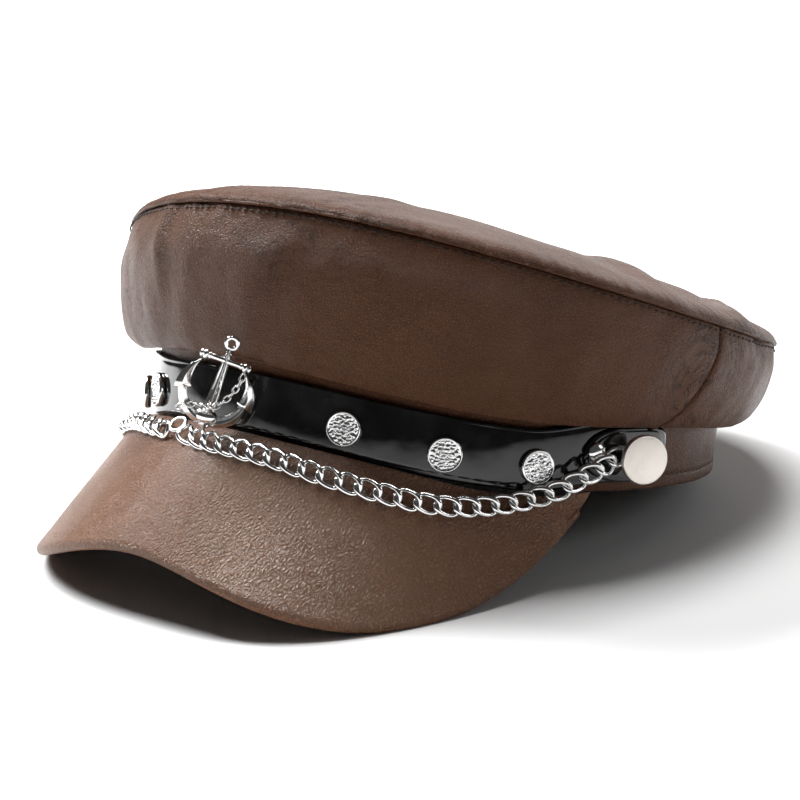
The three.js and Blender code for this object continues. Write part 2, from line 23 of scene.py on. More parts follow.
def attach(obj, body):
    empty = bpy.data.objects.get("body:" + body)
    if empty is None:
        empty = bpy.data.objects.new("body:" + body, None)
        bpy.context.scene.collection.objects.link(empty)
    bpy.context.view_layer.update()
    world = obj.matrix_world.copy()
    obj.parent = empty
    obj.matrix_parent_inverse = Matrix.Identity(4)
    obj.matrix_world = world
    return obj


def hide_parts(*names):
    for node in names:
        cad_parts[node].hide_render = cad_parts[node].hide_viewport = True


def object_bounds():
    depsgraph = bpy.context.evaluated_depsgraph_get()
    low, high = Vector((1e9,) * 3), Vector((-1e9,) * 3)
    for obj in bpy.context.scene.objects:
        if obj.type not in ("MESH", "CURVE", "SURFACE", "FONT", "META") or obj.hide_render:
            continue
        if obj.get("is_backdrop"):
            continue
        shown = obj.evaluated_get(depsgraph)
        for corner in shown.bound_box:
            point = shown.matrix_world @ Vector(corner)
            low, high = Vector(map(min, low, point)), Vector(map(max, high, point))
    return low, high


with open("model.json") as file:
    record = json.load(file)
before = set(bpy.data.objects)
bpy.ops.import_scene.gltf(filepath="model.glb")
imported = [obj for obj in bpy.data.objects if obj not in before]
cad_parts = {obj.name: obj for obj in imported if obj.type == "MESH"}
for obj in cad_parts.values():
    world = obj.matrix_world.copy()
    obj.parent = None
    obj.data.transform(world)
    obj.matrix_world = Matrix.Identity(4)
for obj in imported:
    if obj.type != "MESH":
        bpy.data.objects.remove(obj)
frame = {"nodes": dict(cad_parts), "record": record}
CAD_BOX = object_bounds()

log = logging.getLogger("cap")

Point = tuple[float, float, float]
Place = Callable[[float, float], Vector]
Mesh = bmesh.types.BMesh

MM = 0.001
UP = Vector((0, 0, 1))
GAP = 0.3
BAND_HALF_DEPTH = 97.0
BAND_HALF_WIDTH = 89.0
BAND_THICKNESS = 2.6
BAND_HEIGHT_SIDE = 27
BAND_HEIGHT_BACK = 25
ARCH_LIFT = 9.5
POST_RADIUS = 1.6


# ------------------------------------------------------------------ small sums
def sind(angle: float) -> float:
    """Sine of an angle in degrees."""
    return math.sin(math.radians(angle))


def cosd(angle: float) -> float:
    """Cosine of an angle in degrees."""
    return math.cos(math.radians(angle))


def mix(low: float, high: float, share: float) -> float:
    """Value a share of the way from low to high."""
    return low + (high - low) * share


def clamp(value: float, low: float = 0.0, high: float = 1.0) -> float:
    """Value held between two limits."""
    return max(low, min(high, value))


def smooth(value: float, low: float, high: float) -> float:
    """Smooth step from 0 at low to 1 at high."""
    x = clamp((value - low) / (high - low))
    return x * x * (3 - 2 * x)


def bell(distance: float, width: float) -> float:
    """Bump of height 1 that fades within about two widths."""
    return math.exp(-((distance / width) ** 2))


def wander(x: float, y: float, seed: float) -> float:
    """Smooth noise between -1 and 1 at a place."""
    return noise.noise(Vector((x, y, seed)))


def smooth_curve(knots: Sequence[Vector], share: float) -> Vector:
    """Point of the centripetal spline through the knots.

    Args:
        knots: Points the curve passes through.
        share: Place along the knots, 0 at the first and 1 at the last.

    Returns:
        The point on the curve.
    """
    spans = len(knots) - 1
    place = clamp(share) * spans
    i = min(int(place), spans - 1)
    w = place - i
    p1, p2 = knots[i], knots[i + 1]
    p0 = knots[i - 1] if i else 2 * knots[0] - knots[1]
    p3 = knots[i + 2] if i + 2 <= spans else 2 * knots[-1] - knots[-2]
    d0, d1, d2 = (max((b - a).length, 1e-6) ** 0.5 for a, b in ((p0, p1), (p1, p2), (p2, p3)))
    t1 = ((p1 - p0) / d0 - (p2 - p0) / (d0 + d1) + (p2 - p1) / d1) * d1
    t2 = ((p2 - p1) / d1 - (p3 - p1) / (d1 + d2) + (p3 - p2) / d2) * d1
    c2 = -3 * p1 + 3 * p2 - 2 * t1 - t2
    c3 = 2 * p1 - 2 * p2 + t1 + t2
    return p1 + t1 * w + c2 * w * w + c3 * w * w * w


@dataclass
class Run:
    """A line through knots, walked by length."""

    knots: Sequence[Vector]
    samples: int = 600

    def __post_init__(self) -> None:
        """Measures the line."""
        self.points = [smooth_curve(self.knots, i / self.samples) for i in range(self.samples + 1)]
        self.lengths = [0.0]
        for a, b in zip(self.points, self.points[1:]):
            self.lengths.append(self.lengths[-1] + (b - a).length)
        self.length = self.lengths[-1]

    def at(self, distance: float) -> tuple[Vector, Vector]:
        """Point and direction at a distance along the line.

        Args:
            distance: Distance from the start.

        Returns:
            The point and the unit direction there.
        """
        distance = clamp(distance, 0, self.length)
        low, high = 0, self.samples
        while high - low > 1:
            middle = (low + high) // 2
            if self.lengths[middle] <= distance:
                low = middle
            else:
                high = middle
        a, b = self.points[low], self.points[high]
        share = (distance - self.lengths[low]) / max(self.lengths[high] - self.lengths[low], 1e-9)
        return a.lerp(b, share), (b - a).normalized()


# ------------------------------------------------------------------ where the cap lies
def cap_frame() -> Matrix:
    """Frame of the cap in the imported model, from the band rim it rests by.

    Returns:
        Matrix from the cap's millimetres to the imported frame's metres.
    """
    mount = next(m for m in frame["record"]["mounts"] if m["name"] == "band_rim")
    up = -Vector(mount["axis"]).normalized()
    across = Vector((1, 0, 0))
    back = up.cross(across).normalized()
    origin = Vector(mount["pos_m"]) - back * (BAND_HALF_DEPTH - BAND_THICKNESS / 2) * MM
    turn = Matrix((across, back, up)).transposed().to_4x4()
    return Matrix.Translation(origin) @ turn @ Matrix.Scale(MM, 4)


CAP = cap_frame()


# ------------------------------------------------------------------ shader maths
class Wire:
    """A value in a shader tree, with arithmetic that adds Math nodes."""

    def __init__(self, finish: Dress, socket: bpy.types.NodeSocket) -> None:
        """Keeps the tree and the socket."""
        self.finish = finish
        self.socket = socket

    def _math(self, operation: str, *values: Wire | float) -> Wire:
        """Adds one Math node."""
        return self.finish.node("ShaderNodeMath", {"operation": operation}, dict(enumerate(values)))

    def __add__(self, other: Wire | float) -> Wire:
        """Sum."""
        return self._math("ADD", self, other)

    __radd__ = __add__

    def __sub__(self, other: Wire | float) -> Wire:
        """Difference."""
        return self._math("SUBTRACT", self, other)

    def __rsub__(self, other: float) -> Wire:
        """Number less the wire."""
        return self._math("SUBTRACT", other, self)

    def __mul__(self, other: Wire | float) -> Wire:
        """Product."""
        return self._math("MULTIPLY", self, other)

    __rmul__ = __mul__

    def size(self) -> Wire:
        """Absolute value."""
        return self._math("ABSOLUTE", self)

    def ramp(self, low: float, high: float, start: float = 0.0, end: float = 1.0) -> Wire:
        """Smooth change from start to end as the wire goes from low to high."""
        return self.finish.node(
            "ShaderNodeMapRange",
            {"interpolation_type": "SMOOTHSTEP"},
            {0: self, 1: low, 2: high, 3: start, 4: end},
        )


class Dress:
    """A material being written, one node at a time."""

    def __init__(self, name: str) -> None:
        """Starts an empty material."""
        self.material = bpy.data.materials.new(name)
        self.material.use_nodes = True
        self.tree = self.material.node_tree
        self.tree.nodes.clear()

    def node(
        self, kind: str, settings: dict[str, object], inputs: dict[object, object], output: int | str = 0
    ) -> Wire:
        """Adds a node.

        Args:
            kind: Node type.
            settings: Properties that are set first.
            inputs: Values or wires by socket name or number.
            output: Output that is passed on.

        Returns:
            The wire of that output.
        """
        made = self.tree.nodes.new(kind)
        for key, value in settings.items():
            setattr(made, key, value)
        for key, value in inputs.items():
            socket = made.inputs[key]
            if isinstance(value, Wire):
                self.tree.links.new(value.socket, socket)
            else:
                socket.default_value = value
        return Wire(self, made.outputs[output])

    def place(self) -> Wire:
        """Position on the piece, in metres."""
        return self.node("ShaderNodeTexCoord", {}, {}, "Object")

    def along(self) -> Wire:
        """Place on the piece's own surface map, in metres."""
        return self.node("ShaderNodeUVMap", {"uv_map": "surface"}, {})

    def noise(
        self, where: Wire, scale: float, detail: float = 3.0, rough: float = 0.55, twist: float = 0.0
    ) -> Wire:
        """Cloudy noise around 0.5 at a number of clouds to the metre."""
        return self.node(
            "ShaderNodeTexNoise",
            {},
            {"Vector": where, "Scale": scale, "Detail": detail, "Roughness": rough, "Distortion": twist},
        )

    def cells(self, where: Wire, scale: float, feature: str = "DISTANCE_TO_EDGE") -> Wire:
        """Cell pattern at a number of cells to the metre."""
        return self.node("ShaderNodeTexVoronoi", {"feature": feature}, {"Vector": where, "Scale": scale})

    def stretch(self, where: Wire, scale: Point, turn: Point = (0, 0, 0)) -> Wire:
        """Place scaled and turned."""
        return self.node("ShaderNodeMapping", {}, {"Vector": where, "Scale": scale, "Rotation": turn})

    def warp(self, where: Wire, scale: float, strength: float) -> Wire:
        """Place pushed about by noise."""
        push = self.node(
            "ShaderNodeTexNoise", {}, {"Vector": where, "Scale": scale, "Detail": 2.0}, "Color"
        )
        centred = self.node("ShaderNodeVectorMath", {"operation": "SUBTRACT"}, {0: push, 1: (0.5, 0.5, 0.5)})
        small = self.node("ShaderNodeVectorMath", {"operation": "SCALE"}, {0: centred, "Scale": strength})
        return self.node("ShaderNodeVectorMath", {"operation": "ADD"}, {0: where, 1: small})

    def tint(self, low: object, high: object, share: Wire) -> Wire:
        """Colour between two colours or wires of colour."""
        colours = [c if isinstance(c, Wire) else (*c, 1.0) for c in (low, high)]
        return self.node(
            "ShaderNodeMix",
            {"data_type": "RGBA"},
            {0: share, 6: colours[0], 7: colours[1]},
            2,
        )

    def bump(self, height: Wire, depth: float, after: Wire | None = None) -> Wire:
        """Normal from a height between 0 and 1 that stands for a depth in metres."""
        inputs: dict[object, object] = {"Height": height, "Strength": 1.0, "Distance": depth}
        if after is not None:
            inputs["Normal"] = after
        return self.node("ShaderNodeBump", {}, inputs)

    def close(self, **sockets: object) -> bpy.types.Material:
        """Joins everything to the surface.

        Args:
            sockets: Values or wires of the surface, with _ for a space.

        Returns:
            The finished material.
        """
        named = {key.replace("_", " "): value for key, value in sockets.items()}
        surface = self.node("ShaderNodeBsdfPrincipled", {}, named)
        out = self.tree.nodes.new("ShaderNodeOutputMaterial")
        self.tree.links.new(surface.socket, out.inputs["Surface"])
        return self.material


# ------------------------------------------------------------------ finishes
@dataclass(frozen=True)
class GrainedLeather:
    """Pebbled leather with fine creases and a soft polish.

    Attributes:
        name: Material name.
        dark_tone_and_shade: Darker colour for random darker clouds, and painted shade in the grooves of the
            grain and in the creases.
        body: Colour of the face.
        rubbed: Colour of rubbed places.
        pebble: Size of a grain cell in metres.
        grain: Depth of the grain in metres.
        crease: Depth of the fine creases in metres.
        gloss: Roughness of the polished face.
        polish: Strength of the clear finish.
        shine: Refraction of the face, which sets its sheen.
        grow: Scale of the pattern along the three axes.
    """

    name: str
    dark_tone_and_shade: Point
    body: Point
    rubbed: Point
    pebble: float = 0.0009
    grain: float = 0.0005
    crease: float = 0.0004
    gloss: float = 0.27
    polish: float = 0.02
    shine: float = 1.34
    grow: Point = (1.0, 1.0, 1.0)

    @cache
    def material(self) -> bpy.types.Material:
        """Writes the material."""
        d = Dress(self.name)
        spot = d.stretch(d.place(), self.grow)
        moved = d.warp(spot, 260, 0.0016)
        cell = d.cells(moved, 1 / self.pebble)
        pebble = cell.ramp(0.02, 0.36)
        small = d.cells(d.warp(spot, 700, 0.0006), 2.4 / self.pebble).ramp(0.0, 0.2)
        patches = d.noise(spot, 22, 3, 0.55)
        flat = patches.ramp(0.42, 0.62)
        grain = pebble * 0.7 + small * 0.3
        pores = d.noise(spot, 4200, 2, 0.6)
        lines = (d.noise(spot, 75, 5, 0.62, 0.9) - 0.5).size()
        thin = 1 - lines.ramp(0.0, 0.026)
        where = d.noise(d.stretch(spot, (1, 1, 1), (0.4, 0.9, 0.2)), 16, 2, 0.5).ramp(0.5, 0.68)
        creases = thin * where
        swell = d.noise(spot, 60, 4, 0.55, 0.5)
        height = d.bump(swell, 0.0028)
        height = d.bump(1 - creases, self.crease, height)
        height = d.bump(grain * (0.55 + 0.45 * flat) + pores * 0.16, self.grain, height)
        # Painted shade: the grooves between the grain's pebbles are darkened.
        tone = d.tint(self.dark_tone_and_shade, self.body, grain.ramp(0.08, 0.7, 0.4, 1.0))
        tone = d.tint(tone, self.rubbed, patches.ramp(0.45, 0.75, 0.0, 0.45))
        tone = d.tint(tone, self.dark_tone_and_shade, d.noise(spot, 9, 4, 0.6).ramp(0.45, 0.75, 0.0, 0.28))
        # Painted shade: the creases are darkened.
        tone = d.tint(tone, self.dark_tone_and_shade, creases * 0.7)
        rough = self.gloss + 0.16 * (1 - grain) + 0.14 * (pores - 0.5) + 0.1 * (patches - 0.5) + 0.1 * creases
        return d.close(
            Base_Color=tone,
            Roughness=rough,
            Normal=height,
            Coat_Weight=self.polish,
            Coat_Roughness=0.24,
            IOR=self.shine,
        )


@dataclass(frozen=True)
class PatentLeather:
    """Black leather under a thick clear film.

    Attributes:
        name: Material name.
        body: Colour under the film.
        gloss: Roughness of the film.
    """

    name: str
    body: Point
    gloss: float = 0.05

    @cache
    def material(self) -> bpy.types.Material:
        """Writes the material."""
        d = Dress(self.name)
        spot = d.place()
        haze = d.noise(spot, 60, 3, 0.6)
        dust = d.noise(spot, 1900, 2, 0.7).ramp(0.66, 0.78)
        soft = d.bump(d.noise(spot, 90, 2, 0.5), 0.00022)
        fine = d.bump(d.noise(spot, 420, 2, 0.5), 0.00001, soft)
        tone = d.tint(self.body, (0.03, 0.028, 0.028), haze.ramp(0.4, 0.7, 0.0, 0.6))
        tone = d.tint(tone, (0.1, 0.095, 0.09), dust * 0.25)
        rough = self.gloss + 0.05 * haze + 0.22 * dust
        film = {"Coat_Weight": 0.5, "Coat_Roughness": 0.04, "IOR": 1.38}
        return d.close(Base_Color=tone, Roughness=rough, Normal=fine, **film)


@dataclass(frozen=True)
class Metal:
    """Plated metal, polished or satin.

    Attributes:
        name: Material name.
        body: Colour of the plating.
        dull: Colour where it is tarnished.
        gloss: Roughness.
        brush: Depth of the fine surface marks in metres.
        stain: How much tarnish there is.
    """

    name: str
    body: Point
    dull: Point
    gloss: float
    brush: float = 0.000004
    stain: float = 0.35

    @cache
    def material(self) -> bpy.types.Material:
        """Writes the material."""
        d = Dress(self.name)
        spot = d.place()
        cloud = d.noise(spot, 240, 4, 0.6)
        marks = d.noise(spot, 2600, 3, 0.65)
        pits = d.cells(spot, 1300, "F1").ramp(0.0, 0.16)
        tone = d.tint(self.body, self.dull, cloud.ramp(0.46, 0.72, 0.0, self.stain))
        rough = self.gloss + 0.1 * (cloud - 0.5) + 0.12 * (marks - 0.5) + 0.08 * (1 - pits)
        normal = d.bump(marks * 0.6 + pits * 0.4, self.brush)
        return d.close(Base_Color=tone, Metallic=1.0, Roughness=rough, Normal=normal)


@dataclass(frozen=True)
class Thread:
    """Twisted sewing thread.

    Attributes:
        name: Material name.
        body: Colour of the thread.
        dark_tone_and_shade: Darker colour, painted shade between its strands, spread a little by random fuzz.
    """

    name: str
    body: Point
    dark_tone_and_shade: Point

    @cache
    def material(self) -> bpy.types.Material:
        """Writes the material."""
        d = Dress(self.name)
        spot = d.place()
        strand = d.node(
            "ShaderNodeTexWave",
            {"wave_type": "BANDS", "bands_direction": "DIAGONAL"},
            {"Vector": spot, "Scale": 420.0, "Distortion": 1.5, "Detail": 2.0},
            "Fac",
        )
        fuzz = d.noise(spot, 3800, 2, 0.6)
        # Painted shade: the thread is darker between its twisted strands.
        tone = d.tint(self.dark_tone_and_shade, self.body, strand * 0.7 + fuzz * 0.3)
        normal = d.bump(strand * 0.8 + fuzz * 0.2, 0.00006)
        return d.close(Base_Color=tone, Roughness=0.62 + 0.2 * (fuzz - 0.5), Normal=normal)


@dataclass(frozen=True)
class WovenLining:
    """Fine twill lining cloth.

    Attributes:
        name: Material name.
        warp: Colour of the lengthwise yarn.
        weft: Colour of the crosswise yarn.
        pitch: Yarn pitch in metres.
    """

    name: str
    warp: Point
    weft: Point
    pitch: float = 0.0006

    @cache
    def material(self) -> bpy.types.Material:
        """Writes the material."""
        d = Dress(self.name)
        spot = d.along()
        bands = 1 / (self.pitch * 20)
        rows = [
            d.node(
                "ShaderNodeTexWave",
                {"wave_type": "BANDS", "bands_direction": direction},
                {"Vector": spot, "Scale": bands * 6.283 / 2, "Distortion": 0.4, "Detail": 1.0},
                "Fac",
            )
            for direction in ("X", "Y", "DIAGONAL")
        ]
        weave = rows[0] * rows[1] * 0.6 + rows[2] * 0.4
        slub = d.noise(d.stretch(spot, (30, 400, 1)), 4, 3, 0.6)
        folds = d.noise(d.place(), 30, 3, 0.55)
        tone = d.tint(self.warp, self.weft, weave)
        tone = d.tint(tone, self.warp, slub.ramp(0.45, 0.7, 0.0, 0.4))
        normal = d.bump(folds, 0.0012)
        normal = d.bump(weave, 0.00006, normal)
        return d.close(Base_Color=tone, Roughness=0.55 + 0.2 * (slub - 0.5), Normal=normal, Sheen_Weight=0.4)


@dataclass(frozen=True)
class StudioFloor:
    """Plain pale floor.

    Attributes:
        name: Material name.
        body: Colour.
    """

    name: str
    body: Point

    @cache
    def material(self) -> bpy.types.Material:
        """Writes the material."""
        d = Dress(self.name)
        cloud = d.noise(d.place(), 3, 2, 0.5)
        tone = d.tint(self.body, (0.93, 0.93, 0.93), cloud)
        return d.close(Base_Color=tone, Roughness=0.8, IOR=1.3)


Finish = GrainedLeather | PatentLeather | Metal | Thread | WovenLining | StudioFloor

BROWN = GrainedLeather(
    "crown_leather", (0.030, 0.010, 0.004), (0.150, 0.058, 0.024), (0.215, 0.096, 0.048)
)
# Visor leather: its own finer grain, and colours lighter than the crown's as painted light for its
# upward-facing surface.
VISOR_BROWN_PAINTED_LIGHTER = GrainedLeather(
    "visor_leather_painted_lighter",
    (0.095, 0.040, 0.018),
    (0.265, 0.118, 0.056),
    (0.320, 0.155, 0.080),
    pebble=0.00105,
    grain=0.0009,
    polish=0.03,
    shine=1.5,
    crease=0.0002,
    gloss=0.26,
    grow=(1.0, 0.66, 0.66),
)
INNER = GrainedLeather(
    "inner_leather",
    (0.020, 0.012, 0.009),
    (0.055, 0.033, 0.024),
    (0.075, 0.047, 0.035),
    pebble=0.0008,
    grain=0.00005,
    gloss=0.5,
    polish=0.05,
)
PATENT = PatentLeather("patent_leather", (0.0045, 0.0043, 0.0045))
SILVER = Metal("bright_plating", (0.93, 0.93, 0.925), (0.52, 0.52, 0.53), 0.13)
CHAIN_SILVER = Metal("chain_plating", (0.9, 0.9, 0.895), (0.5, 0.5, 0.51), 0.16)
SATIN = Metal("satin_plating", (0.84, 0.78, 0.72), (0.72, 0.67, 0.61), 0.36, 0.000006, 0.5)
THREAD = Thread("brown_thread", (0.030, 0.015, 0.009), (0.010, 0.006, 0.004))
LINING = WovenLining("twill_lining", (0.022, 0.018, 0.016), (0.05, 0.043, 0.038))
BOARD = WovenLining("stiff_board", (0.20, 0.17, 0.13), (0.30, 0.26, 0.21), 0.0012)
FLOOR = StudioFloor("pale_floor", (0.86, 0.86, 0.86))


# ------------------------------------------------------------------ making pieces
class Ring(Enum):
    """How a surface closes on itself."""

    OPEN = 0
    ROUND = 1
    TUBE = 2
    DONUT = 3


def surface(
    columns: int,
    rows: int,
    point: Place,
    ring: Ring = Ring.OPEN,
    inside: Vector | None = None,
    into: Mesh | None = None,
) -> Mesh:
    """Lays a grid of faces over a surface that is a function of two shares.

    Args:
        columns: Faces along the first share.
        rows: Faces along the second share.
        point: Place of a point from its two shares, each 0 to 1.
        ring: How the surface closes.
        inside: A point on the side that the faces turn away from.
        into: Mesh to add to.

    Returns:
        The mesh.
    """
    bm = bmesh.new()
    map_layer = bm.loops.layers.uv.new("surface")
    bmesh.ops.create_grid(bm, x_segments=columns, y_segments=rows, size=1.0, calc_uvs=True)
    shares = {v: ((v.co.x + 1) / 2, (v.co.y + 1) / 2) for v in bm.verts}
    for vert, (a, b) in shares.items():
        vert.co = point(a, b)
    wide = sum((point(i / 24, 0.5) - point((i + 1) / 24, 0.5)).length for i in range(24)) * MM
    tall = sum((point(0.5, i / 24) - point(0.5, (i + 1) / 24)).length for i in range(24)) * MM
    for face in bm.faces:
        for loop in face.loops:
            a, b = shares[loop.vert]
            loop[map_layer].uv = (a * wide, b * tall)
    if ring is not Ring.OPEN:
        bmesh.ops.remove_doubles(bm, verts=bm.verts[:], dist=1e-4)
    if ring is Ring.TUBE:
        edges = [e for e in bm.edges if e.is_boundary]
        bmesh.ops.holes_fill(bm, edges=edges, sides=0)
    bmesh.ops.recalc_face_normals(bm, faces=bm.faces[:])
    if inside is not None:
        turned = sum(f.normal.dot(f.calc_center_median() - inside) * f.calc_area() for f in bm.faces)
        if turned < 0:
            bmesh.ops.reverse_faces(bm, faces=bm.faces[:])
    if into is None:
        return bm
    joined(into, bm)
    return into


def joined(into: Mesh, bm: Mesh) -> None:
    """Adds one mesh to another and frees it."""
    carrier = bpy.data.meshes.new("carrier")
    bm.to_mesh(carrier)
    bm.free()
    into.from_mesh(carrier)
    bpy.data.meshes.remove(carrier)


def move(bm: Mesh, place: Matrix) -> None:
    """Moves a whole mesh."""
    bmesh.ops.transform(bm, matrix=place, verts=bm.verts[:])


def axes(along: Vector, out: Vector, at: Vector) -> Matrix:
    """Frame with x along a line and z as near to out as it can be."""
    x = along.normalized()
    z = (out - x * out.dot(x)).normalized()
    y = z.cross(x)
    return Matrix.Translation(at) @ Matrix((x, y, z)).transposed().to_4x4()


@dataclass
class Piece:
    """Turns a mesh in the cap's frame into a shown piece.

    Attributes:
        name: Name of the piece.
        finish: Its finish.
        slot: Slot of the record that the finish belongs to.
        body: Body it rides on.
        replaces: Nodes of the frame that it stands for.
    """

    name: str
    finish: Finish
    # slot: Slot of the record that the finish belongs to; not used.
    slot: str
    body: str = "cap"
    replaces: tuple[str, ...] = ()

    def make(self, bm: Mesh, wall: float = 0.0, round_over: float = 0.0) -> None:
        """Finishes the piece.

        Args:
            bm: Mesh in the cap's millimetres; it is freed.
            wall: Thickness in millimetres that is added inwards.
            round_over: Width of the rounding of its edges in millimetres.
        """
        move(bm, CAP)
        mesh = bpy.data.meshes.new(self.name)
        for f in bm.faces:
            f.smooth = True
        bm.to_mesh(mesh)
        bm.free()
        mesh.materials.append(self.finish.material())
        thing = bpy.data.objects.new(self.name, mesh)
        bpy.context.scene.collection.objects.link(thing)
        if wall:
            solid = thing.modifiers.new("wall", "SOLIDIFY")
            solid.thickness = wall * MM
            solid.offset = -1.0
        if round_over:
            edge = thing.modifiers.new("round_over", "BEVEL")
            edge.width = round_over * MM
            edge.segments = 3
            edge.profile = 0.5
            edge.limit_method = "ANGLE"
            edge.angle_limit = math.radians(32)
        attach(thing, self.body)
        self.slot
        if self.replaces:
            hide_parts(*self.replaces)
        log.info("%s: %d faces on %s", self.name, len(mesh.polygons), self.body)


@dataclass
class StitchRow:
    """A row of stitches along a seam.

    Attributes:
        length: Length of one stitch.
        gap: Space to the next one.
        width: Width of the thread.
        sink: Depth that a stitch lies in the leather.
    """

    length: float = 1.5
    gap: float = 0.8
    width: float = 0.42
    sink: float = 0.02

    def sew(self, seam: Callable[[float], tuple[Vector, Vector]], length: float) -> Mesh:
        """Sews the row.

        Args:
            seam: Point and outward direction at a share of the seam.
            length: Length of the seam.

        Returns:
            The mesh of the stitches.
        """
        bm = bmesh.new()
        count = max(1, round(length / (self.length + self.gap)))
        half = 0.5 * self.length / length
        for i in range(count):
            middle = (i + 0.5) / count
            (a, _), (b, _), (c, out) = seam(middle - half), seam(middle + half), seam(middle)
            sway = Matrix.Rotation(0.07 * wander(i * 3.7, 0.5, 9.0), 4, "Z")
            place = axes(b - a, out, c + out * (self.width * 0.22 - self.sink)) @ sway
            size = Matrix.Diagonal(((b - a).length / 2, self.width / 2, self.width * 0.42, 1))
            bmesh.ops.create_uvsphere(bm, u_segments=6, v_segments=5, radius=1.0, matrix=place @ size)
        return bm


# ------------------------------------------------------------------ head oval
def on_band(t: float, out: float, z: float) -> Vector:
    """Place on the head oval.

    Args:
        t: Degrees from the front, positive to the wearer's left.
        out: Distance outside the band.
        z: Height over its rim.

    Returns:
        The point.
    """
    return Vector(((BAND_HALF_WIDTH + out) * sind(t), -(BAND_HALF_DEPTH + out) * cosd(t), z))


def band_normal(t: float) -> Vector:
    """Outward direction of the head oval."""
    return Vector((sind(t) / BAND_HALF_WIDTH, -cosd(t) / BAND_HALF_DEPTH, 0)).normalized()


def band_place(t: float, out: float, z: float) -> Matrix:
    """Frame on the band: x to the wearer's right in front, y up, z outwards.

    Args:
        t: Degrees from the front.
        out: Distance outside the band.
        z: Height over its rim.

    Returns:
        The frame.
    """
    out_axis = band_normal(t)
    x = out_axis.cross(UP).normalized()
    turn = Matrix((-x, UP, out_axis)).transposed().to_4x4()
    return Matrix.Translation(on_band(t, out, z)) @ turn


def arch(t: float) -> float:
    """How far the rim of the band is lifted over the visor."""
    return ARCH_LIFT * max(0.0, cosd(t)) ** 3


def strap_edge(t: float) -> float:
    """Height of the strap's lower edge."""
    return arch(t) - 1 + 4 * smooth(abs(t), 60, 78)


def band_top(t: float) -> float:
    """Height of the band's upper edge."""
    return mix(BAND_HEIGHT_SIDE, BAND_HEIGHT_BACK, max(0.0, -cosd(t))) + arch(t)


def signed(t: float) -> float:
    """Angle between -180 and 180 degrees."""
    return (t + 180) % 360 - 180


def band_rim(t: float) -> float:
    """Height of the band's lower edge."""
    return arch(t) * (1 - smooth(abs(signed(t)), 73, 76))


def oblong(inner: float, outer: float, low: float, high: float, share: float) -> tuple[float, float]:
    """Point of a strap-like section with fully rounded edges.

    Args:
        inner: Inner side.
        outer: Outer side.
        low: Lower edge.
        high: Upper edge.
        share: Place round the section, 0 to 1.

    Returns:
        Distance out and height.
    """
    r = (outer - inner) / 2
    flat = high - low - 2 * r
    middle = (inner + outer) / 2
    turn = math.pi * r
    d = (share % 1.0) * 2 * (flat + turn)
    if d < flat:
        return outer, low + r + d
    if d < flat + turn:
        a = (d - flat) / r
        return middle + r * math.cos(a), high - r + r * math.sin(a)
    if d < 2 * flat + turn:
        return inner, high - r - (d - flat - turn)
    a = math.pi + (d - 2 * flat - turn) / r
    return middle + r * math.cos(a), low + r + r * math.sin(a)


# ------------------------------------------------------------------ crown
class Wall(Enum):
    """The two leathers of the crown's wall."""

    FRONT = "front"
    REAR = "rear"


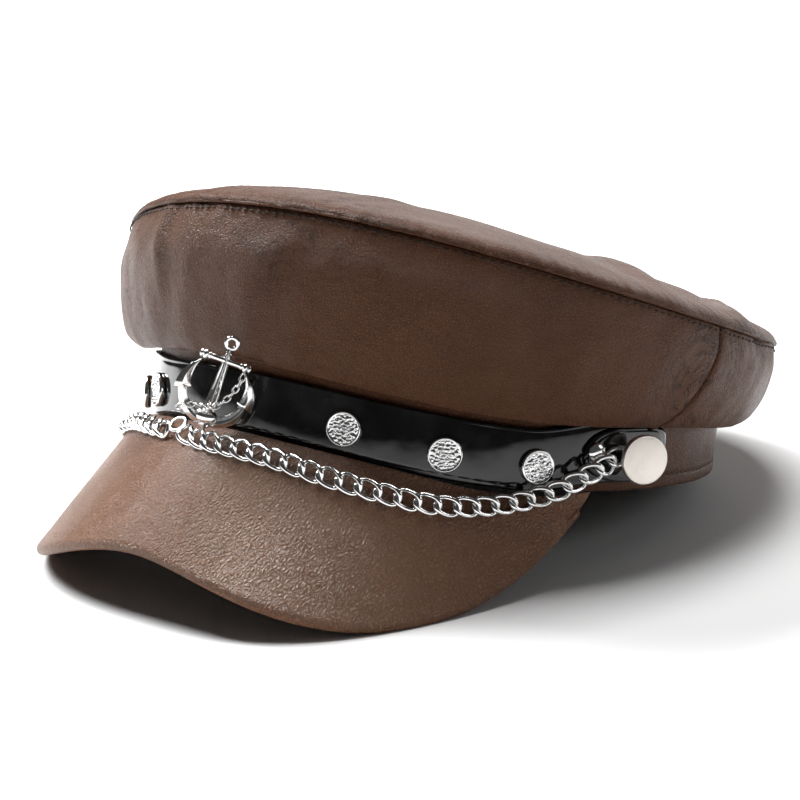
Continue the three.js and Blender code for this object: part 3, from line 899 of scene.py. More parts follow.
@dataclass
class Crown:
    """Soft crown: a domed top panel on a front and a rear wall.

    Attributes:
        half_depth: Half of the top panel's depth.
        half_width: Half of its width.
        shift: How far its middle lies behind the head's.
        front_z: Height of the seam in front.
        side_z: Height of the seam at the sides.
        back_z: Height of the seam at the back.
        lean: How much higher the wearer's left side of the seam stands.
        rise: How far the dome stands over its rim.
        leather: Thickness of the leather.
        middle: A point inside the crown.
    """

    half_depth: float = 111.0
    half_width: float = 104.0
    shift: float = 3.0
    front_z: float = 79.0
    side_z: float = 48.0
    back_z: float = 35.0
    lean: float = 7.0
    rise: float = 15.0
    leather: float = 1.4
    middle: Vector = field(default_factory=lambda: Vector((0, 0, 34)))

    def seam_height(self, t: float) -> float:
        """Height of the top seam."""
        c = cosd(t)
        ends = (self.front_z + self.back_z) / 2 - self.side_z
        return self.side_z + (self.front_z - self.back_z) / 2 * c + ends * c * c + self.lean * sind(t)

    def top_seam(self, t: float, grow: float = 0.0) -> Vector:
        """Point of the top seam, moved out by a distance."""
        return Vector(
            (
                (self.half_width + grow) * sind(t),
                self.shift - (self.half_depth + grow) * cosd(t),
                self.seam_height(t),
            )
        )

    @cache
    def knots(self, t: float) -> tuple[Vector, ...]:
        """Points the wall passes through, from the band up to the top seam."""
        back = (1 - cosd(t)) / 2
        out = mix(6, 12, back)
        sag = mix(20, 13, max(0.0, -cosd(t))) + 11 * max(0.0, cosd(t)) ** 3
        seam = self.top_seam(t)
        full = bell(signed(t) + 58, 42)
        belly = self.top_seam(t, mix(2.5, -1.5, back) + 1.2 * full)
        out += 4.6 * full
        return (
            on_band(t, GAP + self.leather + 0.2, band_top(t) - 1),
            on_band(t, out * 0.5, sag + 0.6),
            on_band(t, out, sag + 5 - 0.8 * full),
            Vector((belly.x, belly.y, mix(sag, seam.z, 0.68))),
            Vector((seam.x, seam.y, seam.z - GAP)),
        )

    def __hash__(self) -> int:
        """One crown is one key."""
        return id(self)

    def folds(self, t: float, v: float) -> float:
        """How far the soft wall stands out or in at a place."""
        x = math.radians(t) * 2.2
        broad = 1.3 * wander(x, v * 1.3, 1.7) * math.sin(math.pi * clamp(v)) ** 0.6
        slack = 0.9 * wander(x * 3.2 + v * 1.4, v * 1.8, 5.1) * smooth(v, 0.12, 0.4)
        slack *= 1 - smooth(v, 0.8, 1.0)
        tucks = 0.8 * wander(x * 9, v * 0.8, 3.3) * bell(v - 0.3, 0.2) * smooth(v, 0.0, 0.2)
        pucker = 0.28 * wander(x * 26, v * 2.2, 7.9) * smooth(v, 0.86, 0.95)
        side = abs(signed(t))
        gather = smooth(side, 92, 112) * (1 - smooth(side, 150, 180)) * smooth(v, 0.45, 0.95)
        pleats = 1.5 * wander(x * 7 + (v - 1) * 1.2, (1 - v) * 0.7, 11.3) * gather
        line = signed(t) + 15 + 3 * (1 - v)
        crease = (0.7 * bell(line, 1.6) - 0.5 * bell(line - 3, 1.8)) * smooth(v, 0.5, 0.85)
        dimple = 0.5 * wander(x * 5 - v * 3, v * 4.5, 13.7) * smooth(v, 0.15, 0.35)
        return broad + slack + tucks + pucker + pleats + crease + dimple

    def wall(self, t: float, v: float) -> Vector:
        """Point of the wall's leather face."""
        spot = smooth_curve(self.knots(t), v)
        return spot + Vector((sind(t), -cosd(t), 0.15)) * self.folds(t, v)

    def back_seam(self, v: float) -> float:
        """Angle of the seam between front and rear wall."""
        return mix(82, 94, math.sin(v * math.pi / 2))

    def panel(self, part: Wall) -> None:
        """Builds one wall leather."""
        front = part is Wall.FRONT

        def place(a: float, v: float) -> Vector:
            edge = self.back_seam(v)
            t = mix(-edge, edge, a) if front else mix(edge, 360 - edge, a)
            span = math.radians(2 * edge if front else 360 - 2 * edge) * 100
            near = min(a, 1 - a) * span
            sunk = 1.1 * math.exp(-near / 1.1)
            nudge = -0.04 * (1 - a * 2)
            spot = self.wall(t + nudge * math.exp(-near / 2), v)
            tuck = 0.55 * math.exp(-((1 - v) * 60) / 1.2)
            return spot - Vector((sind(t), -cosd(t), 0)) * (sunk + tuck)

        name = f"crown_{part.value}"
        bm = surface(330 if front else 250, 64, place, inside=self.middle)
        Piece(name, BROWN, "brown_leather", replaces=(f"{name}_panel",)).make(bm, self.leather)

    def dome(self, t: float, r: float) -> Vector:
        """Point of the smooth top panel at an angle and a share of its radius."""
        rim = self.top_seam(t, 0.4)
        middle_z = (self.seam_height(0) + self.seam_height(180)) / 2
        flat_z = middle_z + (rim.z - middle_z) * r
        return Vector(
            (rim.x * r, self.shift + (rim.y - self.shift) * r, flat_z + self.rise * (1 - r**2) ** 0.65)
        )

    CREASES = (
        ((-52, -78), (-18, -20), 1.1, 5.0),
        ((-10, -98), (6, -40), 0.9, 4.0),
        ((30, -92), (22, -52), 0.7, 3.5),
        ((92, -8), (30, 34), 1.3, 6.0),
        ((98, 28), (52, 74), 1.2, 5.0),
        ((-80, 30), (-20, 70), 1.0, 6.0),
        ((-20, 96), (14, 40), 1.0, 5.0),
        ((70, 60), (10, 88), 0.9, 4.5),
    )

    def top(self) -> None:
        """Builds the top panel with its soft creases."""

        def place(a: float, b: float) -> Vector:
            x, y = a * 2 - 1, b * 2 - 1
            r = max(abs(x), abs(y))
            if r < 1e-9:
                angle = 0.0
            elif abs(x) >= abs(y):
                angle = (90 if x > 0 else 270) - 45 * y / x
            else:
                angle = 45 * x / y + (0 if y > 0 else 180)
            spot = self.dome(angle, min(r, 0.9999))
            lift = self.leather
            for (x0, y0), (x1, y1), height, width in self.CREASES:
                dx, dy = x1 - x0, y1 - y0
                share = ((spot.x - x0) * dx + (spot.y - y0) * dy) / (dx * dx + dy * dy)
                off = math.hypot(spot.x - x0 - dx * share, spot.y - y0 - dy * share)
                off += 2.5 * wander(spot.x * 0.06, spot.y * 0.06, x0)
                fade = smooth(share, -0.25, 0.15) * (1 - smooth(share, 0.75, 1.25))
                lift += height * fade * (bell(off, width) - 0.6 * bell(off - width * 1.5, width))
            x_turn = math.radians(angle)
            lift += 1.0 * wander(spot.x * 0.03, spot.y * 0.03, 2.1) * (1 - r**6)
            ripple = wander(math.sin(x_turn) * 42, math.cos(x_turn) * 42, r * 1.5)
            lift += 0.42 * ripple * smooth(r, 0.86, 0.97)
            lift -= 0.9 * math.exp(-(1 - r) * 105 / 1.3)
            return spot + Vector((0, 0, lift))

        bm = surface(210, 210, place, inside=self.middle)
        Piece("crown_top", BROWN, "brown_leather", replaces=("crown_top_panel",)).make(bm, self.leather)

    def welt(self) -> None:
        """Builds the raised ridge of turned leather along the top seam."""

        def place(a: float, b: float) -> Vector:
            t = 360 * a
            out = Vector((sind(t), -cosd(t), 0))
            wire = 0.62 + 0.1 * wander(t * 0.3, 0, 4.0)
            spot = self.top_seam(t, -0.15) + Vector((0, 0, 0.25))
            spot += out * self.folds(t, 0.985) * 0.5
            turn = 2 * math.pi * b
            return spot + out * wire * math.cos(turn) + Vector((0, 0, wire * 0.85 * math.sin(turn)))

        bm = surface(480, 12, place, Ring.DONUT)
        Piece("crown_welt", BROWN, "brown_leather").make(bm)

    def stitched(self) -> None:
        """Sews the row of stitches under the top seam."""

        def seam(share: float) -> tuple[Vector, Vector]:
            t = 360 * share
            step = (self.wall(t, 1.0) - self.wall(t, 0.97)).length
            v = 1 - 0.03 * 1.5 / step
            here = self.wall(t, v)
            side, up = self.wall(t + 0.3, v) - here, self.wall(t, v + 0.01) - here
            return here, side.cross(up).normalized()

        length = sum((self.top_seam(t + 3) - self.top_seam(t)).length for t in range(0, 360, 3))
        row = StitchRow(1.9, 0.9, 0.7, 0.1)
        Piece("crown_topstitch", THREAD, "brown_leather").make(row.sew(seam, length))

    def lining(self) -> None:
        """Builds the cloth lining: a round top and a gathered side."""

        def top(a: float, b: float) -> Vector:
            r = 0.9 * max(b, 0.0005)
            spot = self.dome(360 * a, r)
            sag = 0.8 * wander(spot.x * 0.04, spot.y * 0.04, 6.0)
            return spot + Vector((0, 0, -5 + sag))

        def side(a: float, b: float) -> Vector:
            t = 360 * a
            low = on_band(t, -3.1, band_top(t) + 2)
            high = self.dome(t, 0.9) + Vector((0, 0, -7.2))
            spot = low.lerp(high, b)
            pleat = 1 + 0.03 * math.sin(math.pi * b) + 0.006 * math.sin(math.radians(t) * 40) * b * (1.2 - b)
            return Vector((spot.x * pleat, spot.y * pleat, spot.z))

        bm = surface(144, 24, top, Ring.ROUND, inside=self.middle)
        cloth = Piece("lining_top_cloth", LINING, "lining_cloth", replaces=("lining_top",))
        cloth.make(bm, 0.6)
        bm = surface(320, 16, side, Ring.ROUND, inside=self.middle)
        cloth = Piece("lining_side_cloth", LINING, "lining_cloth", replaces=("lining_side",))
        cloth.make(bm, 0.6)

    def build(self) -> None:
        """Builds the whole crown."""
        self.panel(Wall.FRONT)
        self.panel(Wall.REAR)
        self.top()
        self.welt()
        self.stitched()
        self.lining()


# ------------------------------------------------------------------ band, strap
@dataclass
class HeadBand:
    """Leather band round the head with the sweatband inside it.

    Attributes:
        thickness: Thickness of the band.
        sweat_thickness: Thickness of the sweatband.
        sweat_height: Height of the sweatband.
    """

    thickness: float = BAND_THICKNESS
    sweat_thickness: float = 1.0
    sweat_height: float = 25.0

    def build(self) -> None:
        """Builds both bands and their stitching."""

        def band(a: float, b: float) -> Vector:
            t = 360 * a
            out, z = oblong(-self.thickness, 0, band_rim(t), band_top(t), b)
            puff = 0.3 * wander(math.radians(t) * 6, z * 0.08, 2.0)
            groove = 0.3 * bell(z - band_rim(t) - 4.2, 0.5) if out > -0.2 else 0.0
            return on_band(t, out + puff - groove, z)

        def sweat(a: float, b: float) -> Vector:
            t = 360 * a
            low = band_rim(t) + 1.2
            outer = -self.thickness - GAP
            out, z = oblong(outer - self.sweat_thickness, outer, low, low + self.sweat_height - 2, b)
            ease = 0.25 * wander(math.radians(t) * 5, z * 0.05, 8.0)
            return on_band(t, out - abs(ease), z)

        Piece("head_band_leather", BROWN, "brown_leather", replaces=("head_band",)).make(
            surface(300, 60, band, Ring.DONUT)
        )
        Piece("sweatband_leather", INNER, "sweat_leather", replaces=("sweatband",)).make(
            surface(240, 60, sweat, Ring.DONUT)
        )

        def rim_seam(share: float) -> tuple[Vector, Vector]:
            t = mix(90, 270, share)
            puff = 0.3 * wander(math.radians(t) * 6, (band_rim(t) + 4.2) * 0.08, 2.0)
            return on_band(t, puff - 0.22, band_rim(t) + 4.2), band_normal(t)

        def sweat_seam(share: float) -> tuple[Vector, Vector]:
            t = 360 * share
            return on_band(t, -self.thickness - GAP - 1.05, band_rim(t) + 4.0), -band_normal(t)

        row = StitchRow(2.0, 1.0)
        Piece("band_stitches", THREAD, "brown_leather").make(row.sew(rim_seam, 295))
        Piece("sweatband_stitches", THREAD, "sweat_leather").make(row.sew(sweat_seam, 570))


@dataclass
class Strap:
    """Patent strap over the front with its two end tabs.

    Attributes:
        height: Height of the strap.
        thickness: Thickness of the strap.
        end: Angle where it ends under the tabs.
        tab_thickness: Thickness of a tab.
        tab_front: Angle of a tab's round end.
        tab_middle: Angle of a tab's middle.
        tab_back: Angle of a tab's square end.
        tab_z: Height of a tab's middle.
        tab_half: Half of a tab's height.
    """

    height: float = 19.5
    thickness: float = 1.7
    end: float = 89.0
    tab_thickness: float = 1.6
    tab_front: float = 71.6
    tab_middle: float = 81.5
    tab_back: float = 91.6
    tab_z: float = 12.1
    tab_half: float = 8.7

    @property
    def tab_face(self) -> float:
        """Distance of a tab's face outside the band."""
        return self.thickness + 2 * GAP + self.tab_thickness

    def band(self) -> None:
        """Builds the strap."""

        def place(a: float, b: float) -> Vector:
            t = mix(-self.end, self.end, a)
            low = strap_edge(t)
            tall = self.height + 2.4 * smooth(-t, 18, 42) * (1 - smooth(-t, 66, 80))
            out, z = oblong(GAP, GAP + self.thickness, low, low + tall, b)
            outer = smooth(out, GAP + 0.3, GAP + self.thickness - 0.1)
            across = (z - low) / tall * 2 - 1
            crown = 0.5 * (1 - across * across)
            dish = 0.22 * wander(math.radians(t) * 7, across * 0.8, 3.0) * (1 - across**6)
            lip = 0.14 * bell(abs(across) - 0.86, 0.06)
            return on_band(t, out + outer * (crown + dish - lip), z)

        Piece("strap_patent", PATENT, "patent_leather", replaces=("strap",)).make(
            surface(260, 110, place, Ring.TUBE)
        )

    def tab_point(self, side: int, x: float, y: float) -> Vector:
        """Point of a tab's face from a square that is drawn out to its outline."""
        r = max(abs(x), abs(y), 1e-6)
        angle = math.atan2(y / r, x / r)
        c, s = math.cos(angle), math.sin(angle)
        power = 5.5 if c > 0 else 2.25
        reach = (abs(c) ** power + abs(s) ** power) ** (-1 / power)
        across, up = reach * c * r, reach * s * r
        long = self.tab_back - self.tab_middle if across > 0 else self.tab_middle - self.tab_front
        t = side * (self.tab_middle + across * long)
        edge = 1 - r
        face = self.tab_face + 0.25 * (1 - r * r) + 0.12 * wander(across * 2, up * 1.5, side * 2.0)
        roll = 0.75 * math.exp(-edge * 9 / 0.45)
        groove = 0.12 * bell(edge - 0.13, 0.03)
        return on_band(t, face - roll - groove, self.tab_z + up * self.tab_half)

    def tabs(self) -> None:
        """Builds both tabs."""
        for side, word in ((1, "left"), (-1, "right")):
            bm = surface(
                72,
                72,
                lambda a, b: self.tab_point(side, a * 2 - 1, b * 2 - 1),
                inside=Vector((0, 0, 12)),
            )
            Piece(
                f"strap_tab_{word}_patent", PATENT, "patent_leather", replaces=(f"strap_tab_{word}",)
            ).make(bm, 1.2)

    def build(self) -> None:
        """Builds strap and tabs."""
        self.band()
        self.tabs()


# ------------------------------------------------------------------ visor
@dataclass
class Visor:
    """Curved visor: leather rolled over a board, with a leather facing below.

    Attributes:
        slope: Fall of the visor in degrees.
        radius: Radius it is bent to.
        root_z: Height where it leaves the band.
        root_end: Angle of its ends on the band.
        reach: How far it stands in front of the head's middle.
        half_width: Half of its width.
        back: How far its ends lie in front of the head's middle.
        half: Half of its thickness.
    """

    slope: float = 44.6
    radius: float = 95.0
    root_z: float = 9.0
    root_end: float = 73.0
    reach: float = 134.0
    half_width: float = 86.8
    back: float = 26.8
    half: float = 2.2

    def height(self, x: float, y: float) -> float:
        """Height of the middle surface."""
        drop = self.radius - math.sqrt(max(0.0, self.radius**2 - x * x))
        fall = (BAND_HALF_DEPTH + 2 + y) * math.tan(math.radians(self.slope))
        return self.root_z + fall - drop / cosd(self.slope)

    def middle(self, u: float, v: float) -> Vector:
        """Point of the middle surface, u along it and v from band to edge."""
        root = on_band(u * self.root_end, 2.8, 0)
        across = sind(88 * abs(u))
        ahead = (1 - across**3) ** (1 / 2.2)
        ex = math.copysign(self.half_width * across, u)
        ey = -self.back - (self.reach - self.back) * ahead
        x, y = mix(root.x, ex, v), mix(root.y, ey, v)
        t = u * self.root_end
        lift = max(0.0, strap_edge(t) - self.half + 0.6 - self.height(root.x, root.y))
        lift *= smooth(abs(t), 40, 62)
        return Vector((x, y, self.height(x, y) + lift * max(0.0, 1 - v) ** 1.4))

    def normal(self, u: float, v: float) -> Vector:
        """Upward direction of the middle surface."""
        spot, e = self.middle(u, v), 0.2
        along_x = self.height(spot.x + e, spot.y) - self.height(spot.x - e, spot.y)
        along_y = self.height(spot.x, spot.y + e) - self.height(spot.x, spot.y - e)
        up = Vector((-along_x, -along_y, 2 * e)).normalized()
        ends = 0.75 * smooth(abs(u), 0.86, 0.99)
        return (up * (1 - ends) + band_normal(u * self.root_end) * ends).normalized()

    def span(self, u: float) -> float:
        """Distance from band to edge."""
        return (self.middle(u, 1) - self.middle(u, 0)).length

    @staticmethod
    def spread(a: float) -> float:
        """Share of the length turned to u, closer together at the ends."""
        x = a * 2 - 1
        return math.copysign(1 - (1 - abs(x)) ** 1.6, x)

    def cover(self) -> None:
        """Builds the upper leather, rolled round the edge and turned in below."""

        def place(a: float, b: float) -> Vector:
            u = self.spread(a)
            length = self.span(u)
            n = self.normal(u, min(1.0, b))
            if b < 0.7:
                v = 1 - (1 - b / 0.7) ** 1.25
                left = (1 - v) * length
                n = self.normal(u, v)
                soft = 0.25 * wander(u * 5, v * 3, 6.0) * smooth(left, 4, 12)
                return self.middle(u, v) + n * (self.half + soft)
            edge = self.middle(u, 1)
            n = self.normal(u, 1)
            out = (self.middle(u + 0.002, 1) - self.middle(u - 0.002, 1)).cross(n).normalized()
            out = out if out.dot(Vector((edge.x, edge.y + 20, -60))) > 0 else -out
            if b < 0.9:
                turn = math.pi * (b - 0.7) / 0.2
                wide = self.half * (1 + 0.08 * math.sin(turn))
                return edge + out * wide * math.sin(turn) + n * self.half * math.cos(turn)
            under = (b - 0.9) / 0.1
            v = 1 - min(0.45, 3.4 / length) * under
            return self.middle(u, v) - self.normal(u, v) * (self.half - 0.5 * under**3)

        bm = surface(260, 110, place, inside=Vector((0, -90, -30)))
        Piece("visor_upper", VISOR_BROWN_PAINTED_LIGHTER, "brown_leather", replaces=("visor_top_cover",)).make(bm, 0.9)

    def facing(self) -> None:
        """Builds the facing under the visor and its row of stitches."""

        def strip(u: float) -> float:
            return min(0.45, 3.5 / self.span(u))

        def place(a: float, b: float) -> Vector:
            u = self.spread(a) * 0.995
            v = (1 - strip(u)) * b
            sag = 0.2 * wander(u * 6, b * 3, 4.0)
            return self.middle(u, v) - self.normal(u, v) * (self.half - 0.1 + sag * smooth(b, 0, 0.2))

        bm = surface(180, 40, place, inside=Vector((0, -60, 60)))
        Piece("visor_facing", INNER, "sweat_leather", replaces=("visor_under_cover",)).make(bm, 0.8)

        def seam(share: float) -> tuple[Vector, Vector]:
            u = mix(-0.93, 0.93, share)
            v = 1 - strip(u) - 2.2 / self.span(u)
            n = self.normal(u, v)
            return self.middle(u, v) - n * (self.half - 0.05), -n

        Piece("visor_stitches", THREAD, "sweat_leather").make(StitchRow(2.4, 1.0).sew(seam, 250))

    def build(self) -> None:
        """Builds the visor."""
        self.cover()
        self.facing()


# ------------------------------------------------------------------ studs, rivets, buttons
def turned(profile: Sequence[tuple[float, float]], steps: int) -> Mesh:
    """Turns a profile of radius and height about the z axis.

    Args:
        profile: Points from the middle of the face to the middle of the back.
        steps: Faces round it.

    Returns:
        The closed mesh.
    """
    bm = bmesh.new()
    verts = [bm.verts.new((r, 0, z)) for r, z in profile]
    edges = [bm.edges.new(pair) for pair in zip(verts, verts[1:])]
    bmesh.ops.spin(
        bm,
        geom=verts + edges,
        cent=(0, 0, 0),
        axis=(0, 0, 1),
        angle=math.tau,
        steps=steps,
        use_merge=True,
    )
    bmesh.ops.remove_doubles(bm, verts=bm.verts[:], dist=1e-4)
    bmesh.ops.recalc_face_normals(bm, faces=bm.faces[:])
    return bm


@dataclass
class Studs:
    """Hammered studs on the strap and smooth rivets on the tabs.

    Attributes:
        diameter: Diameter of a stud.
        height: Height of a stud.
        angles: Their places on each side, from the front.
        rise: Their heights over the strap's lower edge.
        rivet: Diameter of a rivet.
        rivet_angle: Its place on each side, from the front.
        rivet_z: Its height over the rim.
    """

    diameter: float = 10.9
    height: float = 1.9
    angles: tuple[float, ...] = (26.2, 45.0, 62.3)
    rise: tuple[float, ...] = (9.2, 7.9, 8.0)
    rivet: float = 6.2
    rivet_angle: float = 73.8
    rivet_z: float = 13.0

    def stud(self, seed: float) -> Mesh:
        """Models one stud, hammered by its own pattern."""
        r, h = self.diameter / 2, self.height
        face = [(r * 0.83 * i / 30, h * 0.9) for i in range(31)]
        rim = [(0.85, 0.93), (0.875, 1.0), (0.905, 1.04), (0.935, 1.03), (0.965, 0.96)]
        rim += [(0.99, 0.82), (1.0, 0.6)]
        foot = [(1.0, 0.35), (0.985, 0.12), (0.95, 0.0), (0.5, 0.0), (0.0, 0.0)]
        bm = turned(face + [(r * x, h * z) for x, z in rim + foot], 96)
        for v in bm.verts:
            reach = math.hypot(v.co.x, v.co.y) / r
            if v.co.z > h * 0.8 and reach < 0.86:
                spot = Vector((v.co.x * 0.62, v.co.y * 0.92, seed))
                near, _ = noise.voronoi(spot, distance_metric="DISTANCE")
                beat = smooth(near[1] - near[0], 0.02, 0.3)
                v.co.z += (0.5 * beat - 0.38) * (1 - smooth(reach, 0.8, 0.86)) + 0.1 * (1 - reach * reach)
        return bm

    def build(self) -> None:
        """Builds studs and rivets."""
        strap = Strap()
        for side, word in ((1, "left"), (-1, "right")):
            for i, t in enumerate(self.angles, 1):
                bm = self.stud(side * 10 + i * 3.3)
                place = band_place(side * t, GAP + strap.thickness + 0.36, strap_edge(t) + self.rise[i - 1])
                move(bm, place)
                Piece(
                    f"stud_{word}_{i}_face", SILVER, "silver_metal", replaces=(f"stud_{word}_{i}",)
                ).make(bm)
            r = self.rivet / 2
            arc = [(r * sind(a), 0.35 + 1.45 * cosd(a)) for a in range(0, 91, 6)]
            bm = turned(arc + [(r * 1.02, 0.2), (r * 0.98, 0.0), (0, 0)], 40)
            move(bm, band_place(side * self.rivet_angle, strap.tab_face + 0.2, self.rivet_z))
            Piece(
                f"rivet_{word}_dome", SILVER, "silver_metal", replaces=(f"tab_rivet_{word}",)
            ).make(bm)


@dataclass
class SideButtons:
    """Smooth discs that turn on posts over the tabs.

    Attributes:
        diameter: Diameter of a disc.
        thickness: Thickness of a disc.
        standoff: Space between tab and disc.
        angle: Place on the band.
        z: Height over the rim.
        turn: How far the post leans to the front, in degrees.
    """

    diameter: float = 15.6
    thickness: float = 2.4
    standoff: float = 6.2
    angle: float = 82.3
    z: float = 11.8
    turn: float = 16.0

    def build(self) -> None:
        """Builds both discs."""
        r, h = self.diameter / 2, self.thickness
        bore = POST_RADIUS + GAP
        dome = [(r * 0.9 * i / 18, h - 0.22 * (i / 18) ** 2) for i in range(19)]
        rim = [(0.925, h - 0.26), (0.945, h - 0.2), (0.965, h - 0.28), (0.99, h - 0.6), (1.0, h - 1.0)]
        low = [(1.0, 0.75), (0.985, 0.3), (0.94, 0.04), (0.9, 0.0)]
        profile = dome + [(r * x, z) for x, z in rim + low] + [(bore, 0.0), (bore, 1.2), (0.0, 1.2)]
        for side, word in ((1, "left"), (-1, "right")):
            bm = turned(profile, 96)
            place = band_place(side * self.angle, Strap().tab_face + 0.18, self.z)
            place = place @ Matrix.Rotation(math.radians(-side * self.turn), 4, "Y")
            place = place @ Matrix.Translation((0, 0, self.standoff))
            move(bm, place)
            Piece(
                f"button_{word}_disc",
                SATIN,
                "satin_metal",
                f"button_{word}",
                (f"side_button_{word}",),
            ).make(bm)


# ------------------------------------------------------------------ chains
def chain_link(
    length: float, width: float, wire: float, twist: float, place: Matrix, bm: Mesh, steps: int = 32
) -> None:
    """Adds a link bent to an oval and twisted so that it lies flat.

    Args:
        length: Length over all.
        width: Width over all.
        wire: Thickness of the wire.
        twist: How far its ends pass over and under the neighbours.
        place: Frame with x along the chain and z out of it.
        bm: Mesh that it is added to.
        steps: Faces round the link.
    """
    a, b = (length - wire) / 2, (width - wire) / 2

    def middle(turn: float) -> Vector:
        c, s = math.cos(turn), math.sin(turn)
        x, y = math.copysign(abs(c) ** 0.9, c), math.copysign(abs(s) ** 0.9, s)
        return Vector((a * x, b * y, twist * math.sin(2 * turn)))

    def point(p: float, q: float) -> Vector:
        turn = p * math.tau
        spot = middle(turn)
        along = (middle(turn + 0.01) - middle(turn - 0.01)).normalized()
        side = along.cross(UP).normalized()
        up = side.cross(along)
        ring = q * math.tau
        return place @ (spot + side * (wire / 2) * math.cos(ring) + up * (wire / 2) * math.sin(ring))

    surface(steps, 10, point, Ring.DONUT, into=bm)


@dataclass
class Chains:
    """Two swags of curb chain from the badge to the side buttons.

    Attributes:
        length: Length of a link.
        width: Width of a link.
        wire: Thickness of the wire.
        pitch: Distance from link to link.
        ring_angle: Angle of the ring that both swags hang from.
        ring_out: Distance of the ring outside the band.
        ring_z: Height of the ring.
        end: Angle of the other ends.
        end_z: Height of the other ends.
        low_z: Lowest height of a swag.
        lift: Half of the space that the links take up.
        twist: How far a link's ends pass over and under its neighbours.
        farthest: Farthest that a swag stands off the band.
    """

    length: float = 9.3
    width: float = 6.7
    wire: float = 1.5
    pitch: float = 6.1
    ring_angle: float = -9.0
    ring_out: float = 9.0
    ring_z: float = 8.3
    end: float = 79.0
    end_z: float = 13.2
    low_z: float = -4.2
    lift: float = 1.4
    twist: float = 0.95
    farthest: float = 16.0

    def out(self, t: float, z: float) -> float:
        """Distance off the band where the chain rests on the visor."""
        visor = Visor()
        clear = visor.half + self.lift + GAP + 0.2
        over = 2.4 * smooth(abs(t), 57, 67) * (1 - smooth(abs(t), 75, 77.5))
        out = Strap().tab_face + self.lift + 0.5 + over
        while out < self.farthest:
            p, q = on_band(t, out, z), on_band(t, out + 0.5, z)
            fall = (visor.height(p.x, p.y) - visor.height(q.x, q.y)) / 0.5
            if abs(t) > visor.root_end + 2 or z - visor.height(p.x, p.y) > clear * math.hypot(1, fall):
                return out
            out += 0.1
        return self.farthest

    def route(self, side: int) -> Run:
        """Line of one swag, from the ring over the visor up to the button."""
        start, top = self.ring_angle + side * 2.4, self.ring_z - 2
        heights = (
            (0, top),
            (24, mix(top, self.low_z, 0.16)),
            (42, mix(top, self.low_z, 0.6)),
            (62, self.low_z),
            (80, mix(self.low_z, self.end_z, 0.2)),
            (91, mix(self.low_z, self.end_z, 0.64)),
            (100, self.end_z),
        )
        knots = [Vector((s, 0, z)) for s, z in heights]
        line = []
        for i in range(19):
            p = smooth_curve(knots, i / 18)
            t = mix(start, side * self.end, clamp(p.x / 100))
            line.append(on_band(t, self.out(t, p.z), p.z))
        return Run(line)

    def build(self) -> None:
        """Builds both swags, link by link."""
        for side, word in ((1, "left"), (-1, "right")):
            run = self.route(side)
            count = round(run.length / self.pitch)
            step = run.length / count
            bm = bmesh.new()
            for i in range(count):
                spot, along = run.at((i + 0.5) * step)
                t = math.degrees(math.atan2(spot.x, -spot.y))
                out = band_normal(t) + Vector((0, 0, 0.5))
                sway = Matrix.Rotation(0.12 * wander(i * 2.3, side, 1.0), 4, "X")
                sway = sway @ Matrix.Rotation(math.radians(-12), 4, "Z")
                sway = sway @ Matrix.Rotation(math.radians(14), 4, "X")
                lay = axes(along, out, spot) @ sway
                chain_link(self.length, self.width, self.wire, self.twist, lay, bm)
            Piece(
                f"chain_{word}_links",
                CHAIN_SILVER,
                "silver_metal",
                f"chain_{word}",
                (f"chain_{word}",),
            ).make(bm)


